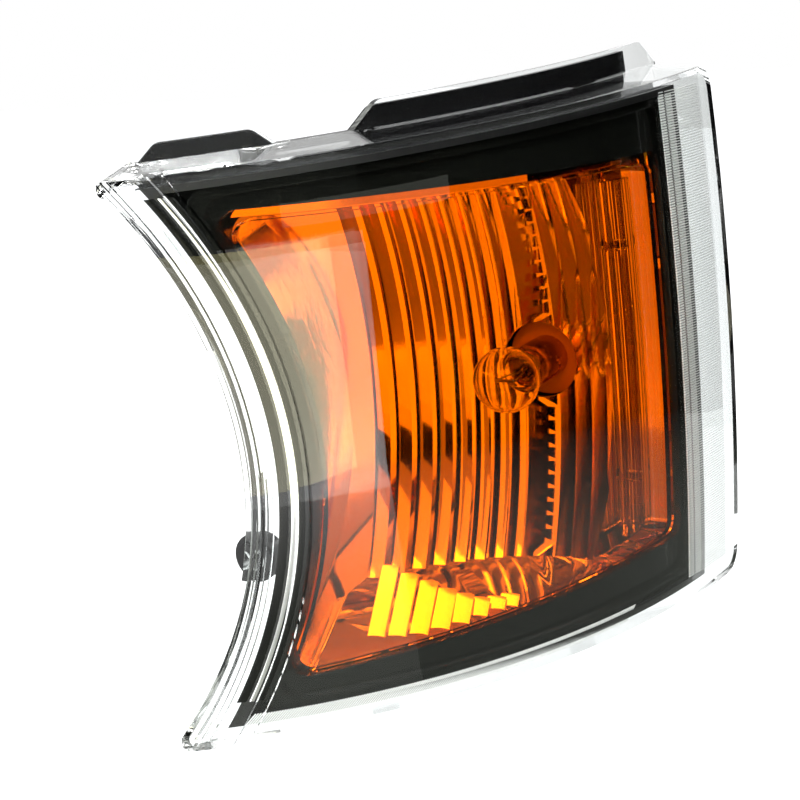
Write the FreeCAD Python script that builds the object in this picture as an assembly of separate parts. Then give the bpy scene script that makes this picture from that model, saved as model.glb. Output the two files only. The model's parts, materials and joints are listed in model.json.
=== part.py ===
"""Front corner direction-indicator lamp of a lorry, with its bulb and quarter-turn bulb holder.

Millimetres. +Z is up, -Y is the way the vehicle faces, +X is the outer side that the lens wraps
round. The origin is the centre of the main stud's foot, on the back of the housing.
The lens face is a ring surface: its plan is one arc about a vertical axis, with a slight crown.
"Depth" is the distance behind that face, measured towards the arc's axis. "Station" is the
distance along the face in plan, counted from where the full-height face starts.
"""
import FreeCAD, Part
import math
import os

V = FreeCAD.Vector
UP = V(0, 0, 1)

# ---------------------------------------------------------------- driving dimensions
# Face of the lens
FACE_R = 234.0            # plan radius of the face
FACE_X = 72.05            # a place on the face, half way along
FACE_Y = -97.18
FACE_DEG = 57.72          # way it looks there, turned from -Y towards +X
FACE_STATION = 127.5      # station of that place: distance along the face from the inner side
FACE_LENGTH = 255.0       # station of the outer end
CROWN_R = 1335.0          # crown of the face from top to bottom
TOP_Z = 95.8              # upper edge of the face, half way along
BOTTOM_Z = -104.8         # lower edge of the face, half way along
RAKE_DEG = 2.5            # upper and lower edges rise towards the outer end

# Inner edge, hollowed to go round the neighbouring round headlamp
HOLLOW_R = 160.0          # out to the lip of the lens
HOLLOW_SIDE_X = -3.4      # lip of the lens, level with the hollow's axis
HOLLOW_Z = -12.3          # height of that axis, which runs fore and aft

# Lens
LENS_WALL = 2.6
LENS_DEPTH = 22.0         # depth of the rim behind the face
RIM_DRAFT = 3.0           # how far the rim opens out over that depth
CORNER_R = 9.0
INNER_CORNER_R = 3.0      # corners beside the headlamp
TERRACE_WIDTH = 2.1       # one step of the inner margin
TERRACE_DROP = 1.0
TERRACE_RISER = 1.6       # thickness of a step's riser
TERRACE_COUNT = 3
GROOVE_START = 16.1       # groove beside the inner margin, measured from the lip
GROOVE_WIDTH = 3.7
GROOVE_DROP = 1.0
LIP_DEPTH = 9.0           # depth of the rim along the inner edge

# Tabs on the rim, each with a start, an end and a rise above the rim's rear edge
TAB_WALL = 2.6
TAB_FLANK_DEG = 42.0
TAB_CORNER_R = 5.0
INNER_TAB_START = -6.0
INNER_TAB_END = 50.0
INNER_TAB_RISE = 8.4
OUTER_TAB_START = 79.0
OUTER_TAB_END = 249.0
OUTER_TAB_RISE = 9.2
TAB_MARGIN = 1.8          # clear edge of a lens tab beyond the black tab behind it
FLANGE_MARGIN = 1.0       # clear edge of the lens beyond the black flange behind it

# Housing
HOUSING_WALL = 2.5
HOUSING_RIM = 3.8         # thickness of the wall that the lens is bonded to, on the inner side
HOUSING_LEFT_GAP = 11.0   # lip of the lens to the housing's inner side
HOUSING_LOW_GAP = 6.5     # lower edge of the face to the housing
HOUSING_END = 223.5       # station of the housing's outer end
TAPER_START = 40.0        # depth from which the top and bottom walls close in
TOP_TAPER = 0.22
LOW_TAPER = 0.15
FLARE_DEG = 20.0          # inner side of the housing leans away from fore-and-aft
FLARE_START = 8.0         # lean starts this far behind the face
BACK_Y = -3.0             # rear face of the housing
SEAL_GAP = 0.1
SEAL_WALL = 1.7
SLIP = 0.5                # clearance of pieces that drop into the housing
LEAST_CORNER_R = 1.0

# Bezel
BEZEL_DEPTH = 8.0
BEZEL_WALL = 2.0
BEZEL_BORDER = 3.0        # raised outer border
BEZEL_BORDER_RISE = 3.0
BEZEL_END = 220.0
BEZEL_CORNER_R = 6.0
WINDOW_RIM = 1.6
WINDOW_RIM_DEPTH = 2.6

# Amber filter and the window it fills
FILTER_DEPTH = 11.0
FILTER_WALL = 2.4
FILTER_FLANGE = 2.4       # flange beyond the pane
FILTER_TOP_FLANGE = 9.2
FILTER_FLANGE_WALL = 1.6
FLANGE_GAP = 0.2
WINDOW_TOP_Z = 70.8       # half way along
WINDOW_TOP_TILT_DEG = -1.1
WINDOW_LOW_Z = -81.2
WINDOW_LOW_TILT_DEG = 5.0
WINDOW_SIDE_GAP = 17.8    # lip of the lens to the window
WINDOW_END = 214.5
WINDOW_CORNER_R = 5.0
WINDOW_TOP_GAP = 4.5      # filter's top edge to the bezel
WINDOW_GAP = 0.6          # other edges

# Reflector
BULB_X = 44.0             # lamp axis, which runs fore and aft
BULB_Z = -5.0
BOWL_Y = -22.0            # bottom of the bowl
BOWL_FOCUS_PLAN = 40.0
BOWL_FOCUS_HEIGHT = 74.0
FLUTE_PITCH = 7.0
FLUTES_LEFT = 9           # flutes between the lamp axis and the bowl's inner edge
FLUTES_RIGHT = 5
REFLECTOR_WALL = 1.8
REFLECTOR_DEPTH = 16.5    # front edge of the reflector behind the face
REFLECTOR_MARGIN = 0.6    # reflector's mouth beyond the filter's edge
REFLECTOR_HOLE_R = 15.0
WING_DEPTH = 26.0         # flat ribbed wing between the bowl and the outer end

# Side optic: a ribbed plate in front of the wing
OPTIC_START = 191.0
OPTIC_DEPTH = 20.0
OPTIC_WALL = 1.8
OPTIC_RIB = 0.8
OPTIC_RIBS = 4
OPTIC_MARGIN = 5.0
OPTIC_PEG_R = 2.0
OPTIC_PEG_SPACING = 90.0

# Bulb: 21 W bayonet lamp
GLASS_R = 12.5
GLASS_WALL = 0.8
GLASS_NECK_R = 7.0
GLASS_LENGTH = 34.0
GLASS_WAIST_R = 6.0
CAP_R = 7.5
CAP_LENGTH = 17.0
PIN_R = 1.0
PIN_REACH = 1.6
PIN_FROM_BACK = 8.2
LIGHT_CENTRE = 31.8       # filament ahead of the pins
CAP_BACK_Y = -17.0        # rear of the bulb's cap
CAP_WALL = 0.4
GLASS_SEAT = 4.0          # neck of the glass held inside the cap
INSULATOR_WALL = 2.0
SOLDER_R = 2.4
SOLDER_RISE = 1.2
STEM_R = 2.6
STEM_LENGTH = 14.0
STEM_FOOT = 1.0
FILAMENT_LENGTH = 8.0
FILAMENT_R = 0.6
SUPPORT_R = 0.35
SUPPORT_SPACING = 3.0     # at the stem
BULB_TRAVEL = 1.6

# Bulb holder and its port
SLEEVE_WALL = 0.8
SLEEVE_SLIP = 0.08
SLEEVE_FRONT = 1.0        # sleeve reaches past the cap's front
SLEEVE_SEAT = 0.05
SLOT_SLIP = 0.15          # beside the bulb's pins
SLOT_HALF_DEG = 9.0
SLOT_ENTRY_DEG = 38.0
BARREL_R = 15.0
BARREL_LENGTH = 13.0      # inside the housing's rear face
BARREL_SLIP = 0.06
PORT_COLLAR = 4.5         # collar round the port
PORT_RING = 4.0           # thickness that the lugs lock behind
LUG_COUNT = 3
LUG_REACH = 2.6
LUG_WIDTH_DEG = 34.0
LUG_SPARE_DEG = 3.0
LUG_SLIP = 0.5
LUG_THICK = 3.0
LUG_GAP = 0.3
UNLOCK_DEG = 45.0
HOLDER_FLANGE_R = 23.0
HOLDER_FLANGE_WALL = 3.0
GASKET_R = 21.5
GASKET_WALL = 2.2
GASKET_GAP = 0.05
GRIP_R = 19.0
GRIP_LENGTH = 12.0
GRIP_WALL = 3.0
SOCKET_W = 20.0           # connector inlet, across the two blades
SOCKET_H = 12.0
SOCKET_DEPTH = 16.0
SOCKET_WALL = 2.0
SOCKET_FLOOR = 3.0
BLADE_W = 6.3
BLADE_T = 0.8
BLADE_SPACING = 9.0
BLADE_REACH = 11.0
BLADE_SLIP = 0.05
PLUNGER_R = 2.6
PLUNGER_HEAD_R = 4.4
PLUNGER_HEAD = 1.6
PLUNGER_LENGTH = 7.0
PLUNGER_SLIP = 0.08
CONTACT_GAP = 0.02
SPRING_R = 3.6
SPRING_WIRE_R = 0.25
SPRING_TURNS = 4
SPRING_GAP = 0.1
SPRING_SPACE = 4.6

# Fixings
STUD_R = 3.0
STUD_LENGTH = 22.0
STUD_HEAD_R = 6.0
STUD_HEAD = 1.5
STUD_ROOT = 6.5           # root moulded in behind the foot
STUD_ROOT_R = 3.6
STUD_BOSS_R = 9.0
STUD_BOSS = 9.5
STUD_SPACING = 78.0       # lower stud below the main one
EAR_X = -31.0             # side fixing ear
EAR_Y = -120.0            # middle of the ear
EAR_Z = -57.8
EAR_R = 9.0
EAR_WALL = 6.0
EAR_ARM = 12.0            # height of the arm that carries the ear
BUSH_R = 5.4
BUSH_LIP_R = 7.0
BUSH_LIP = 1.2
SPACER_R = 4.0
SPACER_BORE_R = 3.2
FIT_GAP = 0.02            # pieces pressed or moulded together
DOWEL_R = 4.0
DOWEL_LENGTH = 12.0
DOWEL_ROOT = 8.0
DOWEL_ROOT_R = 4.8
DOWEL_BOSS_R = 7.0
DOWEL_X = 60.0
DOWEL_Z = 52.0
SCREW_R = 1.6
SCREW_HEAD_R = 3.2
SCREW_HEAD = 2.0
SCREW_LENGTH = 12.0
SCREW_SLIP = 0.2
SCREW_POST_W = 8.0
POST_EDGE = 2.3           # post beyond the middle of its screw or pin
LUG_EAR_R = 4.0
LUG_EAR_WALL = 2.6
LUG_EAR_DEPTH = 34.0
LUG_STATIONS = (80.0, 150.0)
STAKE_R = 1.3
STAKE_SLIP = 0.1
STAKE_HEAD_R = 2.2
STAKE_HEAD = 1.0
STAKE_RISE = 7.0          # above the filter's pane
STAKE_STATIONS = (80.0, 130.0, 180.0)
STAKE_BOSS_R = 2.4
STAKE_SKIN = 0.8          # bezel left in front of a stake's root
PEG_R = 1.5               # pins that join the bezel to posts in the housing
PEG_BOSS_R = 2.6
PEG_ROOT = 3.0
PEG_LENGTH = 14.0
PEG_EDGE = 2.8            # pin to the bezel's edge
PEG_STATIONS = (55.0, 195.0)
BUFFER_R = 5.0
BUFFER_HEIGHT = 3.0
BUFFER_DEPTH = 32.0
BUFFER_STATIONS = (70.0, 170.0)

# Breather
BREATHER_X = 62.0
BREATHER_Z = -62.0
BREATHER_TUBE_R = 4.5
BREATHER_BORE_R = 2.5
BREATHER_TUBE = 6.0
BREATHER_CAP_R = 8.0
BREATHER_CAP_WALL = 1.4
BREATHER_CAP_SKIRT = 4.0
BREATHER_GRIP = 1.2
MEMBRANE_WALL = 0.4

# ---------------------------------------------------------------- derived sizes
REACH = 60.0              # how far working solids run past the model
RAKE_AXIS = V(math.sin(math.radians(FACE_DEG)), -math.cos(math.radians(FACE_DEG)), 0)
FACE_AXIS = V(FACE_X, FACE_Y, 0) - RAKE_AXIS * FACE_R
HOLLOW_X = HOLLOW_SIDE_X - HOLLOW_R
WINDOW_HOLLOW_R = HOLLOW_R + WINDOW_SIDE_GAP
DRAFT_RATE = RIM_DRAFT / LENS_DEPTH
HOUSING_HOLLOW_R = HOLLOW_R + HOUSING_LEFT_GAP
HOUSING_FRONT = LENS_WALL + 2 * SEAL_GAP + SEAL_WALL
HOUSING_TOP_GAP = LENS_WALL + SLIP
FLANGE_FRONT = LENS_DEPTH + SEAL_GAP
BEZEL_TOP_Z = TOP_Z - HOUSING_TOP_GAP - HOUSING_WALL - SLIP
BEZEL_LOW_Z = BOTTOM_Z + HOUSING_LOW_GAP + HOUSING_WALL + SLIP
FILTER_BACK = FILTER_DEPTH + FILTER_WALL
REFLECTOR_LEFT = BULB_X - FLUTES_LEFT * FLUTE_PITCH
CAP_FRONT_Y = CAP_BACK_Y - CAP_LENGTH
CAP_BORE_R = CAP_R - CAP_WALL
PIN_Y = CAP_BACK_Y - PIN_FROM_BACK
GLASS_CENTRE_Y = CAP_FRONT_Y - GLASS_LENGTH + GLASS_R
FILAMENT_Y = PIN_Y - LIGHT_CENTRE
SLEEVE_BORE_R = CAP_R + SLEEVE_SLIP
SLEEVE_R = SLEEVE_BORE_R + SLEEVE_WALL
BARREL_FRONT_Y = BACK_Y - BARREL_LENGTH
FLANGE_Y = BACK_Y + GASKET_WALL + 2 * GASKET_GAP
INLET_Y = FLANGE_Y + HOLDER_FLANGE_WALL + SOCKET_FLOOR
PLUNGER_Y = CAP_BACK_Y + SOLDER_RISE + CONTACT_GAP
BASE_Y = PLUNGER_Y + PLUNGER_HEAD + SPRING_SPACE + 2 * SPRING_GAP


def heading(station):
    """Way the face looks at a station, in degrees from -Y towards +X."""
    return FACE_DEG + math.degrees((station - FACE_STATION) / FACE_R)


def crown_sag(z):
    return CROWN_R - math.sqrt(CROWN_R ** 2 - z ** 2)


def at_face(shape, station, z, depth):
    """Move a shape built at the origin, looking along -Y, to a place behind the face."""
    turn = math.radians(heading(station))
    r = FACE_R - crown_sag(z) - depth
    place = FACE_AXIS + V(r * math.sin(turn), -r * math.cos(turn), z)
    shape = shape.copy()
    shape.rotate(V(0, 0, 0), UP, heading(station))
    shape.translate(place)
    return shape


def rake_rise(station, tilt_deg=RAKE_DEG):
    """Height that a tilted edge has gained at a station, counted from half way along."""
    turn = math.radians(heading(station) - FACE_DEG)
    return FACE_R * math.sin(turn) * math.tan(math.radians(tilt_deg))


# ---------------------------------------------------------------- working solids
def ring_solid(edges, start_deg, end_deg):
    """Turn a closed outline in the vertical plane through the face's axis into a solid."""
    face = Part.Face(Part.Wire(edges))
    face.rotate(V(0, 0, 0), UP, start_deg)
    face.translate(FACE_AXIS)
    return face.revolve(FACE_AXIS, UP, end_deg - start_deg)


def skin(front, back, start_deg=5.0, end_deg=112.0):
    """Shell between two depths behind the face."""
    def edge_at(depth):
        ends = []
        for z in (BOTTOM_Z - REACH, 0.0, TOP_Z + REACH):
            r = FACE_R - CROWN_R + math.sqrt((CROWN_R - depth) ** 2 - z ** 2)
            ends.append(V(0, -r, z))
        return Part.Arc(*ends).toShape()
    outer = edge_at(front)
    inner = edge_at(back)
    top = Part.LineSegment(outer.Vertexes[1].Point, inner.Vertexes[1].Point).toShape()
    bottom = Part.LineSegment(outer.Vertexes[0].Point, inner.Vertexes[0].Point).toShape()
    return ring_solid([outer, top, inner, bottom], start_deg, end_deg)


def polygon(points):
    points = [V(*p) for p in points]
    return Part.Face(Part.makePolygon(points + points[:1]))


def beyond_edge(z_middle, upward, tilt_deg=RAKE_DEG, draft=DRAFT_RATE, start_deg=0.0, end_deg=118.0):
    """Everything past an upper (upward=1) or lower (upward=-1) edge of the face."""
    near = FACE_R + REACH
    far = FACE_R - 3 * REACH
    z_near = z_middle - upward * draft * (near - FACE_R)
    z_far = z_middle + upward * draft * (FACE_R - far)
    z_end = z_middle + upward * 3 * REACH
    corners = [V(0, -near, z_near), V(0, -near, z_end), V(0, -far, z_end), V(0, -far, z_far)]
    edges = [Part.LineSegment(a, b).toShape() for a, b in zip(corners, corners[1:] + corners[:1])]
    solid = ring_solid(edges, start_deg, end_deg)
    solid.rotate(FACE_AXIS, RAKE_AXIS, tilt_deg)
    return solid


def hollow(radius):
    """The round body beside the lamp, whose side the inner edge follows."""
    length = 8 * REACH
    return Part.makeCylinder(radius, length, V(HOLLOW_X, -length / 2, HOLLOW_Z), V(0, 1, 0))


def lean_place(radius):
    """Where the inner side starts to lean, behind the face at the hollow's mid height."""
    side_x = HOLLOW_X + radius
    front = FACE_AXIS.y - math.sqrt(FACE_R ** 2 - (side_x - FACE_AXIS.x) ** 2)
    return V(side_x, front + FLARE_START, HOLLOW_Z)


def leaning_hollow(radius, ahead):
    """The hollow leaning away from fore-and-aft, drawn on ahead of where the lean starts."""
    slope = math.tan(math.radians(FLARE_DEG))
    start = V(HOLLOW_X + ahead * slope, lean_place(radius).y - ahead, HOLLOW_Z)
    run = 4 * REACH + ahead
    circle = Part.makeCircle(radius, start, V(0, 1, 0))
    return Part.Face(Part.Wire(circle)).extrude(V(-run * slope, run, 0))


def bent_hollow(radius):
    """Straight hollow that leans from a little way behind the face."""
    place = lean_place(radius)
    ahead = Part.makeCylinder(radius, 4 * REACH, V(HOLLOW_X, place.y, HOLLOW_Z), V(0, -1, 0))
    return ahead.fuse(leaning_hollow(radius, 0))


def depth_edges(shape, least):
    """Edges that run back into the lamp, such as the corners of an outline."""
    found = []
    for edge in shape.Edges:
        reach = [math.hypot(v.X - FACE_AXIS.x, v.Y - FACE_AXIS.y) for v in edge.Vertexes]
        if len(reach) == 2 and abs(reach[0] - reach[1]) > least:
            found.append(edge)
    return found


def rounded(zone, front, back, corner):
    """Round a deep outline's four corners, then keep it between two depths."""
    zone = zone.makeFillet(corner, depth_edges(zone, REACH / 4))
    return zone.common(skin(front, back))


def deep_skin(front, back, end_station):
    return skin(front - REACH / 6, max(back, front + REACH / 2), end_deg=heading(end_station))


def beside_hollow(edge, radius):
    """Whether an edge lies on the hollow of that radius."""
    reach = [math.hypot(v.X - HOLLOW_X, v.Z - HOLLOW_Z) for v in edge.Vertexes]
    return max(reach) < radius + SLIP


def lens_zone(inset, front, back):
    """Outline of the lens, drawn in by an inset, between two depths."""
    side_r = HOLLOW_R + inset
    zone = deep_skin(front, back, FACE_LENGTH - inset)
    zone = zone.cut(beyond_edge(TOP_Z - inset, 1))
    zone = zone.cut(beyond_edge(BOTTOM_Z + inset, -1))
    zone = zone.cut(hollow(side_r))
    inner = [e for e in depth_edges(zone, REACH / 4) if beside_hollow(e, side_r)]
    zone = zone.makeFillet(max(INNER_CORNER_R - inset, LEAST_CORNER_R), inner)
    outer = [e for e in depth_edges(zone, REACH / 4) if not beside_hollow(e, side_r + INNER_CORNER_R)]
    zone = zone.makeFillet(max(CORNER_R - inset, LEAST_CORNER_R), outer)
    return zone.common(skin(front, back))


def window_zone(grow, front, back, top_grow=None, leaning=False):
    """Outline of the amber window, let out by an amount, between two depths."""
    top_grow = grow if top_grow is None else top_grow
    zone = deep_skin(front, back, WINDOW_END + grow)
    zone = zone.cut(beyond_edge(WINDOW_TOP_Z + top_grow, 1, WINDOW_TOP_TILT_DEG, 0.0))
    zone = zone.cut(beyond_edge(WINDOW_LOW_Z - grow, -1, WINDOW_LOW_TILT_DEG, 0.0))
    radius = WINDOW_HOLLOW_R - grow
    zone = zone.cut(leaning_hollow(radius, 2 * REACH) if leaning else hollow(radius))
    return rounded(zone, front, back, max(WINDOW_CORNER_R + grow, LEAST_CORNER_R))


def bezel_zone(inset, front, back):
    """Space inside the housing's rim, drawn in by an inset."""
    zone = deep_skin(front, back, BEZEL_END - inset)
    zone = zone.cut(beyond_edge(BEZEL_TOP_Z - inset, 1, draft=0.0))
    zone = zone.cut(beyond_edge(BEZEL_LOW_Z + inset, -1, draft=0.0))
    zone = zone.cut(hollow(HOUSING_HOLLOW_R + HOUSING_RIM + SLIP + inset))
    return rounded(zone, front, back, BEZEL_CORNER_R)


def rod(radius, start_y, end_y, x=BULB_X, z=BULB_Z):
    """Round bar along the lamp's fore-and-aft direction."""
    return Part.makeCylinder(radius, end_y - start_y, V(x, start_y, z), V(0, 1, 0))


def tube(outer_r, inner_r, start_y, end_y, x=BULB_X, z=BULB_Z):
    return rod(outer_r, start_y, end_y, x, z).cut(rod(inner_r, start_y, end_y, x, z))


def tube_sector(outer_r, inner_r, start_y, end_y, start_deg, end_deg):
    """Part of a ring round the lamp axis, its angles measured from +X towards -Z."""
    height = end_y - start_y
    foot = V(BULB_X, start_y, BULB_Z)
    sector = Part.makeCylinder(outer_r, height, V(0, 0, 0), UP, end_deg - start_deg)
    sector = sector.cut(Part.makeCylinder(inner_r, height, V(0, 0, 0), UP, 360))
    sector.rotate(V(0, 0, 0), UP, start_deg)
    sector.rotate(V(0, 0, 0), V(1, 0, 0), -90)
    sector.translate(foot)
    return sector


def block(width, depth, height, x, y, z):
    """Box centred on x and z, standing behind y."""
    return Part.makeBox(width, depth, height, V(x - width / 2, y, z - height / 2))


# ---------------------------------------------------------------- lens
def margin_step(reach, drop):
    """Strip of the inner margin, out to a distance from the hollow's axis."""
    return skin(-REACH / 6, drop).common(hollow(reach))


def tab_prism(start, end, rise, root):
    """Tapered tab standing on the rim's rear edge, cut as one straight prism."""
    middle = (start + end) / 2
    half = (FACE_R - LENS_DEPTH) * math.sin((end - start) / 2 / FACE_R)
    run = rise / math.tan(math.radians(TAB_FLANK_DEG))
    outline = [(-half, -REACH, -root), (-half, -REACH, 0), (run - half, -REACH, rise)]
    outline += [(half - run, -REACH, rise), (half, -REACH, 0), (half, -REACH, -root)]
    prism = polygon(outline).extrude(V(0, 2 * REACH, 0))
    crown = [e for e in prism.Edges if abs(e.BoundBox.ZMax - rise) < SLIP and e.BoundBox.ZLength < SLIP
             and e.BoundBox.XLength < SLIP]
    prism = prism.makeFillet(TAB_CORNER_R, crown)
    lean = RAKE_DEG * math.cos(math.radians(heading(middle) - FACE_DEG))
    prism.rotate(V(0, 0, 0), V(0, -1, 0), lean)
    prism = at_face(prism, middle, 0.0, LENS_DEPTH)
    prism.translate(V(0, 0, TOP_Z + RIM_DRAFT + rake_rise(middle)))
    return prism


def rim_tabs(margin, root):
    """Both tabs of a rim, drawn in by a margin."""
    inner = tab_prism(INNER_TAB_START + margin, INNER_TAB_END - margin, INNER_TAB_RISE - margin, root)
    outer = tab_prism(OUTER_TAB_START + margin, OUTER_TAB_END - margin, OUTER_TAB_RISE - margin, root)
    return [inner, outer]


def outer_lens():
    shell = lens_zone(0, 0, LENS_DEPTH)
    space = lens_zone(LENS_WALL, LENS_WALL, LENS_DEPTH + LENS_WALL)
    for step in range(TERRACE_COUNT):
        drop = TERRACE_DROP * (TERRACE_COUNT - step)
        reach = HOLLOW_R + TERRACE_WIDTH * (step + 1)
        shell = shell.cut(margin_step(reach, drop))
        space = space.cut(margin_step(reach + TERRACE_RISER, drop + LENS_WALL))
    groove = margin_step(HOLLOW_R + GROOVE_START + GROOVE_WIDTH, GROOVE_DROP)
    shell = shell.cut(groove.cut(hollow(HOLLOW_R + GROOVE_START)))
    shell = shell.cut(space)
    shell = shell.cut(skin(LIP_DEPTH, 2 * LENS_DEPTH).common(hollow(HOLLOW_R + LENS_WALL)))
    for tab in rim_tabs(0.0, LENS_WALL / 2):
        shell = shell.fuse(tab.common(skin(LENS_DEPTH - TAB_WALL, LENS_DEPTH)))
    return shell.removeSplitter()


# ---------------------------------------------------------------- housing
def housing_space(inset, rim_inset, front):
    """Outer (inset 0) or inner form of the housing, open at a depth behind the face."""
    far_left = REFLECTOR_LEFT - REFLECTOR_WALL - SLIP - HOUSING_WALL + inset
    zone = skin(front, 3 * REACH, end_deg=heading(HOUSING_END - inset))
    space = Part.makeBox(5 * REACH, 5 * REACH, 5 * REACH)
    space.translate(V(far_left, BACK_Y - inset - 5 * REACH, -5 * REACH / 2))
    zone = zone.common(space.fuse(skin(front, LENS_DEPTH)))
    walls = ((TOP_Z - HOUSING_TOP_GAP, 1, TOP_TAPER), (BOTTOM_Z + HOUSING_LOW_GAP, -1, LOW_TAPER))
    for edge, side, taper in walls:
        level = edge - side * inset
        zone = zone.cut(beyond_edge(level, side, draft=0.0))
        zone = zone.cut(beyond_edge(level + side * taper * TAPER_START, side, draft=-taper))
    return zone.cut(bent_hollow(HOUSING_HOLLOW_R + rim_inset))


def corner_room():
    """Room for the lens's rounded inner corners, at the top and bottom of the inner edge."""
    back = LENS_DEPTH + SEAL_GAP
    strip = skin(0, back).common(hollow(HOLLOW_R + LENS_WALL + INNER_CORNER_R))
    ends = beyond_edge(TOP_Z - 9 * INNER_CORNER_R, 1).fuse(beyond_edge(BOTTOM_Z + 9 * INNER_CORNER_R, -1))
    return strip.common(ends).cut(lens_zone(LENS_WALL + SLIP / 2, 0, back))


def stud(z):
    shank = rod(STUD_R, -STUD_ROOT, STUD_LENGTH, 0, z).fuse(rod(STUD_ROOT_R, -STUD_ROOT, 0, 0, z))
    return shank.fuse(rod(STUD_HEAD_R, -STUD_ROOT - STUD_HEAD, -STUD_ROOT, 0, z)).removeSplitter()


def mounting_studs():
    return Part.makeCompound([stud(0.0), stud(-STUD_SPACING)])


def lug_places():
    """Station and height of each reflector lug, with the side it stands on."""
    reach = REFLECTOR_MARGIN + REFLECTOR_WALL + LUG_EAR_R
    places = []
    for station in LUG_STATIONS:
        top = WINDOW_TOP_Z + rake_rise(station, WINDOW_TOP_TILT_DEG) + reach
        low = WINDOW_LOW_Z + rake_rise(station, WINDOW_LOW_TILT_DEG) - reach
        places += [(station, top, 1), (station, low, -1)]
    return places


def peg_places():
    """Station and height of each bezel pin, with the side it stands on."""
    places = []
    for station in PEG_STATIONS:
        rise = rake_rise(station)
        places.append((station, BEZEL_TOP_Z + rise - PEG_EDGE, 1))
        places.append((station, BEZEL_LOW_Z + rise + PEG_EDGE, -1))
    return places


def post(station, z, side, depth):
    """Post inside the housing, joined to its upper or lower wall."""
    middle = side * (REACH / 4 - POST_EDGE)
    return at_face(block(SCREW_POST_W, SCREW_LENGTH, REACH / 2, 0, 0, middle), station, z, depth)


def bar_at(radius, length, station, z, depth):
    """Round bar running back into the lamp from a place behind the face."""
    return at_face(rod(radius, 0, length, 0, 0), station, z, depth)


def side_ear():
    """Arm and round ear against the housing's inner side, bored for its bush."""
    back = EAR_Y + EAR_WALL / 2
    ear = rod(EAR_R, back - EAR_WALL, back, EAR_X, EAR_Z)
    arm = block(REACH, EAR_WALL, EAR_ARM, EAR_X + REACH / 2, back - EAR_WALL, EAR_Z)
    ear = ear.fuse(arm).cut(housing_space(0, 0, HOUSING_FRONT))
    return ear.cut(rod(BUSH_R + FIT_GAP, EAR_Y - EAR_WALL, EAR_Y + EAR_WALL, EAR_X, EAR_Z)).removeSplitter()


def flange_and_tabs():
    """Black flange and tabs right behind the upper rim of the lens."""
    back = FLANGE_FRONT + TAB_WALL
    flange = lens_zone(FLANGE_MARGIN, FLANGE_FRONT - TAB_WALL, back + TAB_WALL)
    flange = flange.cut(lens_zone(HOUSING_TOP_GAP + HOUSING_WALL, 0, 2 * LENS_DEPTH))
    flange = flange.common(Part.makeBox(5 * REACH, 5 * REACH, REACH, V(-REACH, -4 * REACH, REACH)))
    root = RIM_DRAFT + HOUSING_TOP_GAP + HOUSING_WALL / 2
    flange = flange.fuse(rim_tabs(TAB_MARGIN, root))
    return flange.common(skin(FLANGE_FRONT, back, end_deg=heading(HOUSING_END)))


def rear_bosses():
    bosses = [rod(STUD_BOSS_R, -STUD_BOSS, 0, 0, z) for z in (0.0, -STUD_SPACING)]
    bosses.append(rod(DOWEL_BOSS_R, BACK_Y - DOWEL_ROOT - HOUSING_WALL, 0, DOWEL_X, DOWEL_Z))
    bosses.append(rod(BARREL_R + LUG_REACH + PORT_COLLAR, BACK_Y - PORT_RING, BACK_Y))
    tube_end = BACK_Y + BREATHER_TUBE
    bosses.append(rod(BREATHER_TUBE_R, BACK_Y - HOUSING_WALL, tube_end, BREATHER_X, BREATHER_Z))
    return bosses


def port_cuts():
    """Round port with a keyhole for each lug of the bulb holder."""
    cuts = [rod(BARREL_R + BARREL_SLIP, BACK_Y - REACH / 2, BACK_Y + REACH)]
    for lug in range(LUG_COUNT):
        start = UNLOCK_DEG - LUG_SPARE_DEG + 360 * lug / LUG_COUNT
        end = start + LUG_WIDTH_DEG + 2 * LUG_SPARE_DEG
        reach = BARREL_R + LUG_REACH + LUG_SLIP
        cuts.append(tube_sector(reach, BARREL_R / 2, BACK_Y - REACH / 6, BACK_Y + REACH / 6, start, end))
    return cuts


def housing():
    inner = housing_space(HOUSING_WALL, HOUSING_RIM, 0)
    shell = housing_space(0, 0, HOUSING_FRONT).fuse(flange_and_tabs())
    shell = shell.cut([corner_room(), inner])
    shell = shell.fuse(rear_bosses())
    posts = [post(*place, LUG_EAR_DEPTH + LUG_EAR_WALL + FIT_GAP) for place in lug_places()]
    posts += [post(*place, peg_boss_back() + FIT_GAP) for place in peg_places()]
    shell = shell.fuse([item.common(inner) for item in posts])
    cuts = port_cuts() + [mounting_studs()]
    cuts.append(rod(DOWEL_ROOT_R, BACK_Y - DOWEL_ROOT, REACH, DOWEL_X, DOWEL_Z))
    cuts.append(rod(BREATHER_BORE_R, BACK_Y - REACH / 6, REACH, BREATHER_X, BREATHER_Z))
    cuts += [bar_at(SCREW_R, SCREW_LENGTH, *place[:2], LUG_EAR_DEPTH) for place in lug_places()]
    cuts += [bar_at(PEG_R, PEG_LENGTH, *place[:2], peg_front()) for place in peg_places()]
    return shell.cut(cuts).removeSplitter()


def lens_seal():
    """Bead of adhesive between the housing's rim and the back of the lens."""
    front = LENS_WALL + SEAL_GAP
    ring = housing_space(0, 0, front).cut(housing_space(HOUSING_WALL, HOUSING_RIM, 0))
    return ring.common(skin(front, front + SEAL_WALL)).cut(corner_room())


def locating_dowel():
    root = rod(DOWEL_ROOT_R, BACK_Y - DOWEL_ROOT, 0, DOWEL_X, DOWEL_Z)
    return root.fuse(rod(DOWEL_R, 0, DOWEL_LENGTH, DOWEL_X, DOWEL_Z)).removeSplitter()


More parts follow.
